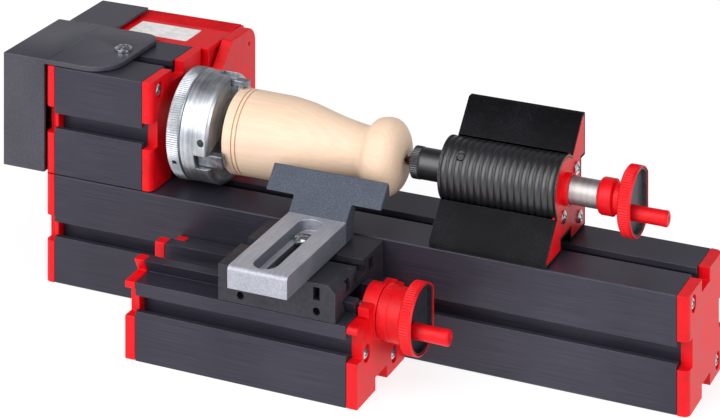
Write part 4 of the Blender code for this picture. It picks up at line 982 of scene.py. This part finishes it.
def build_wheel(wheel, disc, peg, line, disc_look):
    """A fluted handwheel, its cup and its crank peg, turned about a (y, z) line."""
    low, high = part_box(wheel)
    radius = (high.z - low.z) / 2
    width = 6.2 * MM
    face = high.x
    back = face - width
    neck = 9.2 * MM if wheel.startswith("slide") else 6.6 * MM
    flat = high.y - line[0]
    rim = 0.75 * MM
    hub = [(low.x, neck)]
    if wheel.startswith("tail"):
        wide = 7.8 * MM
        step = low.x + 6.5 * MM
        hub = [
            (low.x, wide - 1.0 * MM),
            (low.x + 0.4 * MM, wide - 0.35 * MM),
            (low.x + 1.1 * MM, wide),
            (step - 0.3 * MM, wide),
            (step, wide - 0.3 * MM),
            (step + 0.7 * MM, neck),
            (back - 0.5 * MM, neck),
        ]
    profile = [
        (low.x, WHEEL_BORE),
        *hub,
        (back, neck + 0.5 * MM),
        (back, radius - 1.2 * MM),
        (back + 0.7 * MM, radius - 0.25 * MM),
        (back + 0.75 * MM, radius),
        (face - 1.05 * MM, radius),
        (face - 1.0 * MM, radius - 0.3 * MM),
        (face - 0.9 * MM, radius - 0.05 * MM),
        (face - 0.25 * MM, radius - 0.05 * MM),
        (face, radius - 0.35 * MM),
        (face, WHEEL_BORE),
    ]
    ripple = (back + 0.72 * MM, face - 1.02 * MM, 80, 0.36 * MM)
    mesh = turned(wheel + "_fine", profile, 480, ring=True, ripple=ripple)
    piece = put(wheel + "_fine", mesh)
    over = 1 * MM
    beyond = [((back - over, flat, -2 * radius), (face + over, 2 * radius, 2 * radius))]
    cut(piece, boxes("wheel_flat", beyond))
    corner = math.degrees(math.acos((flat - rim) / (radius - rim)))
    outline = arc((0, 0), radius - rim, corner, 360 - corner, 90)
    cut(piece, prism("wheel_recess", outline, face - 3.7 * MM, face + over))
    piece.location = (0, *line)
    settle(piece, RED, wheel, (wheel,))
    painted(disc, disc_look)
    crank_peg(peg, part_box(disc)[1].x - 2.0 * MM)


def crank_peg(peg, base):
    """A crank peg: its pin, then from base on its slightly waisted grip with a dimpled end."""
    low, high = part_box(peg)
    centre = middle(peg)
    reach = (high.z - low.z) / 2
    end = high.x
    pin = 1.7 * MM
    soft = 0.9 * MM
    crown = []
    for turn in (0, 0.4, 0.8, 1.2, 1.5708):
        crown.append((end - soft + soft * math.sin(turn), reach - soft + soft * math.cos(turn)))
    profile = [
        (low.x, pin),
        (base, pin),
        (base, reach - 0.3 * MM),
        (base + 0.3 * MM, reach),
        (base + 1.4 * MM, reach),
        (base + 6.0 * MM, reach - 0.14 * MM),
        (end - 3.0 * MM, reach - 0.06 * MM),
        *crown,
        (end, 1.1 * MM),
        (end - 0.4 * MM, 0.9 * MM),
        (end - 0.4 * MM, 0),
    ]
    mesh = turned(peg + "_fine", profile, 64)
    piece = put(peg + "_fine", mesh, (0, centre.y, centre.z))
    settle(piece, RED, peg, (peg,))


# ---------------------------------------------------------------- cross slide


def build_slide():
    """The cross slide's right cap, its screw, and the scale ring with its raised marks."""
    refined("slide_cap_right", RED, 0.45)
    painted("leadscrew", turned_steel("leadscrew_steel", SCREW_LINE))
    low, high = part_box("slide_scale_ring")
    radius = (high.z - low.z) / 2
    profile = [
        (low.x, WHEEL_BORE),
        (low.x, radius - 0.3 * MM),
        (low.x + 0.3 * MM, radius),
        (low.x + 4.4 * MM, radius),
        (low.x + 4.6 * MM, radius - 0.25 * MM),
        (low.x + 5.0 * MM, radius - 0.25 * MM),
        (low.x + 5.2 * MM, radius),
        (high.x - 0.3 * MM, radius),
        (high.x, radius - 0.3 * MM),
        (high.x, WHEEL_BORE),
    ]
    mesh = turned("slide_scale_ring_fine", profile, 128, ring=True)
    piece = put("slide_scale_ring_fine", mesh, (0, *SCREW_LINE))
    settle(piece, RED, "slide_scale_ring", ("slide_scale_ring",))
    shape = bmesh.new()
    count = 50
    for k in range(count):
        long = 3.2 * MM if k % 5 == 0 else 2.0 * MM
        size = (long, 0.30 * MM, 0.26 * MM)
        at = (low.x + 0.5 * MM + long / 2, radius, 0)
        spin = Matrix.Rotation(2 * math.pi * k / count, 4, "X")
        matrix = spin @ Matrix.Translation(at) @ Matrix.Diagonal((*size, 1))
        bmesh.ops.create_cube(shape, size=1, matrix=matrix)
    marks = put("slide_scale_marks", finished(shape, "slide_scale_marks"), (0, *SCREW_LINE))
    settle(marks, RED, "slide_scale_ring")


def build_carriage():
    """The carriage with its two gib screws, and the tool rest that stands on it."""
    refined("carriage", GREY, 0.4)
    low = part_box("carriage")[0]
    for k, x in enumerate((low.x + 10.6 * MM, low.x + 46.4 * MM), 1):
        mesh = rod(f"gib_screw_{k}", 0, 5 * MM, 1.55 * MM, 28, 0.2 * MM)
        mesh.transform(Matrix.Rotation(math.pi / 2, 4, "Z"))
        piece = put(f"gib_screw_{k}", mesh)
        slot = boxes("gib_slot", [((-2 * MM, -0.5 * MM, -0.22 * MM), (2 * MM, 0.6 * MM, 0.22 * MM))])
        cut(piece, slot)
        piece.location = (x, low.y + 2.0 * MM, low.z + 3.5 * MM)
        settle(piece, CASTING, "carriage")
    refined("tool_rest", ALUMINIUM, 0.5)
    painted("leadscrew_nut", CASTING)
    for node in ("rest_clamp_nut", "headstock_key", "tailstock_key", "slide_key"):
        painted(node, STEEL)


# ---------------------------------------------------------------- studio


def build_floor():
    shape = bmesh.new()
    bmesh.ops.create_grid(shape, x_segments=8, y_segments=8, size=8.0)
    floor = put("studio_floor", finished(shape, "studio_floor"), (0, 0, -0.0002))
    floor.data.materials.append(floor_white())


def build_world():
    """A bright horizon that dims towards the zenith and a little towards the back."""
    world = bpy.data.worlds.new("studio")
    bpy.context.scene.world = world
    world.use_nodes = True
    nodes, links = world.node_tree.nodes, world.node_tree.links
    coords = nodes.new("ShaderNodeTexCoord")
    parts = nodes.new("ShaderNodeSeparateXYZ")
    links.new(coords.outputs["Generated"], parts.inputs[0])
    product = nodes.new("ShaderNodeMix")
    product.data_type = "RGBA"
    product.blend_type = "MULTIPLY"
    product.inputs["Factor"].default_value = 1.0
    rows = (
        ("Z", 6, (0.5, (1.0, 1.0, 1.04, 1)), (0.92, (0.16, 0.16, 0.18, 1))),
        ("Y", 7, (0.25, (1, 1, 1, 1)), (0.8, (0.75, 0.75, 0.75, 1))),
    )
    for output, socket, *stops in rows:
        share = nodes.new("ShaderNodeMapRange")
        share.inputs["From Min"].default_value = -1.0
        links.new(parts.outputs[output], share.inputs["Value"])
        shades = nodes.new("ShaderNodeValToRGB")
        for element, (position, colour) in zip(shades.color_ramp.elements, stops):
            element.position = position
            element.color = colour
        links.new(share.outputs[0], shades.inputs[0])
        links.new(shades.outputs[0], product.inputs[socket])
    background = nodes["Background"]
    links.new(product.outputs[2], background.inputs["Color"])
    background.inputs["Strength"].default_value = 0.8


def build_lights():
    rows = (
        ("key_light", (-0.7, -1.5, 1.1), 1.7, 30.0),
        ("top_light", (0.1, -0.7, 1.8), 1.2, 9.0),
        ("side_light", (1.5, -0.5, 0.8), 0.9, 10.0),
    )
    for name, place, size, power in rows:
        lamp = bpy.data.lights.new(name, "AREA")
        lamp.shape = "SQUARE"
        lamp.size = size
        lamp.energy = power
        light = bpy.data.objects.new(name, lamp)
        bpy.context.scene.collection.objects.link(light)
        light.location = place
        light.rotation_euler = (-Vector(place)).to_track_quat("-Z", "Y").to_euler()


def build_camera():
    """An upright camera with its film shifted down, as a view camera's would be.

    The shift belongs to this one place, so a driver drops it when the camera is moved.
    """
    film_shift = -1.4686
    near_enough = 0.002
    data = bpy.data.cameras.new("camera")
    data.sensor_width = 36.0
    data.lens = 126.053
    data.clip_start = 0.05
    camera = bpy.data.objects.new("camera", data)
    bpy.context.scene.collection.objects.link(camera)
    camera.location = (BED_LOW.x + 0.6118, BED_LOW.y - 1.0093, 0.5256)
    camera.rotation_euler = (math.pi / 2, 0, math.radians(24.32))
    bpy.context.scene.camera = camera
    driver = data.driver_add("shift_y").driver
    driver.type = "SCRIPTED"
    place = driver.variables.new()
    place.name = "x"
    place.type = "TRANSFORMS"
    place.targets[0].id = camera
    place.targets[0].transform_type = "LOC_X"
    place.targets[0].transform_space = "WORLD_SPACE"
    left, right = camera.location.x - near_enough, camera.location.x + near_enough
    driver.expression = f"{film_shift} if x > {left:.5f} and x < {right:.5f} else 0.0"


build_profiles()
build_caps()
build_screws()
build_spindle()
build_scroll_ring()
build_chuck()
build_work()
build_guards()
build_motor()
build_tailstock()
build_quill()
build_wheel("tail_handwheel", "tail_wheel_disc", "tail_crank_peg", SPINDLE_LINE, GREY_DISC)
build_wheel("slide_handwheel", "slide_wheel_disc", "slide_crank_peg", SCREW_LINE, GREY)
build_slide()
build_carriage()
build_floor()
build_world()
build_lights()
build_camera()
bpy.context.scene.view_settings.view_transform = "Standard"
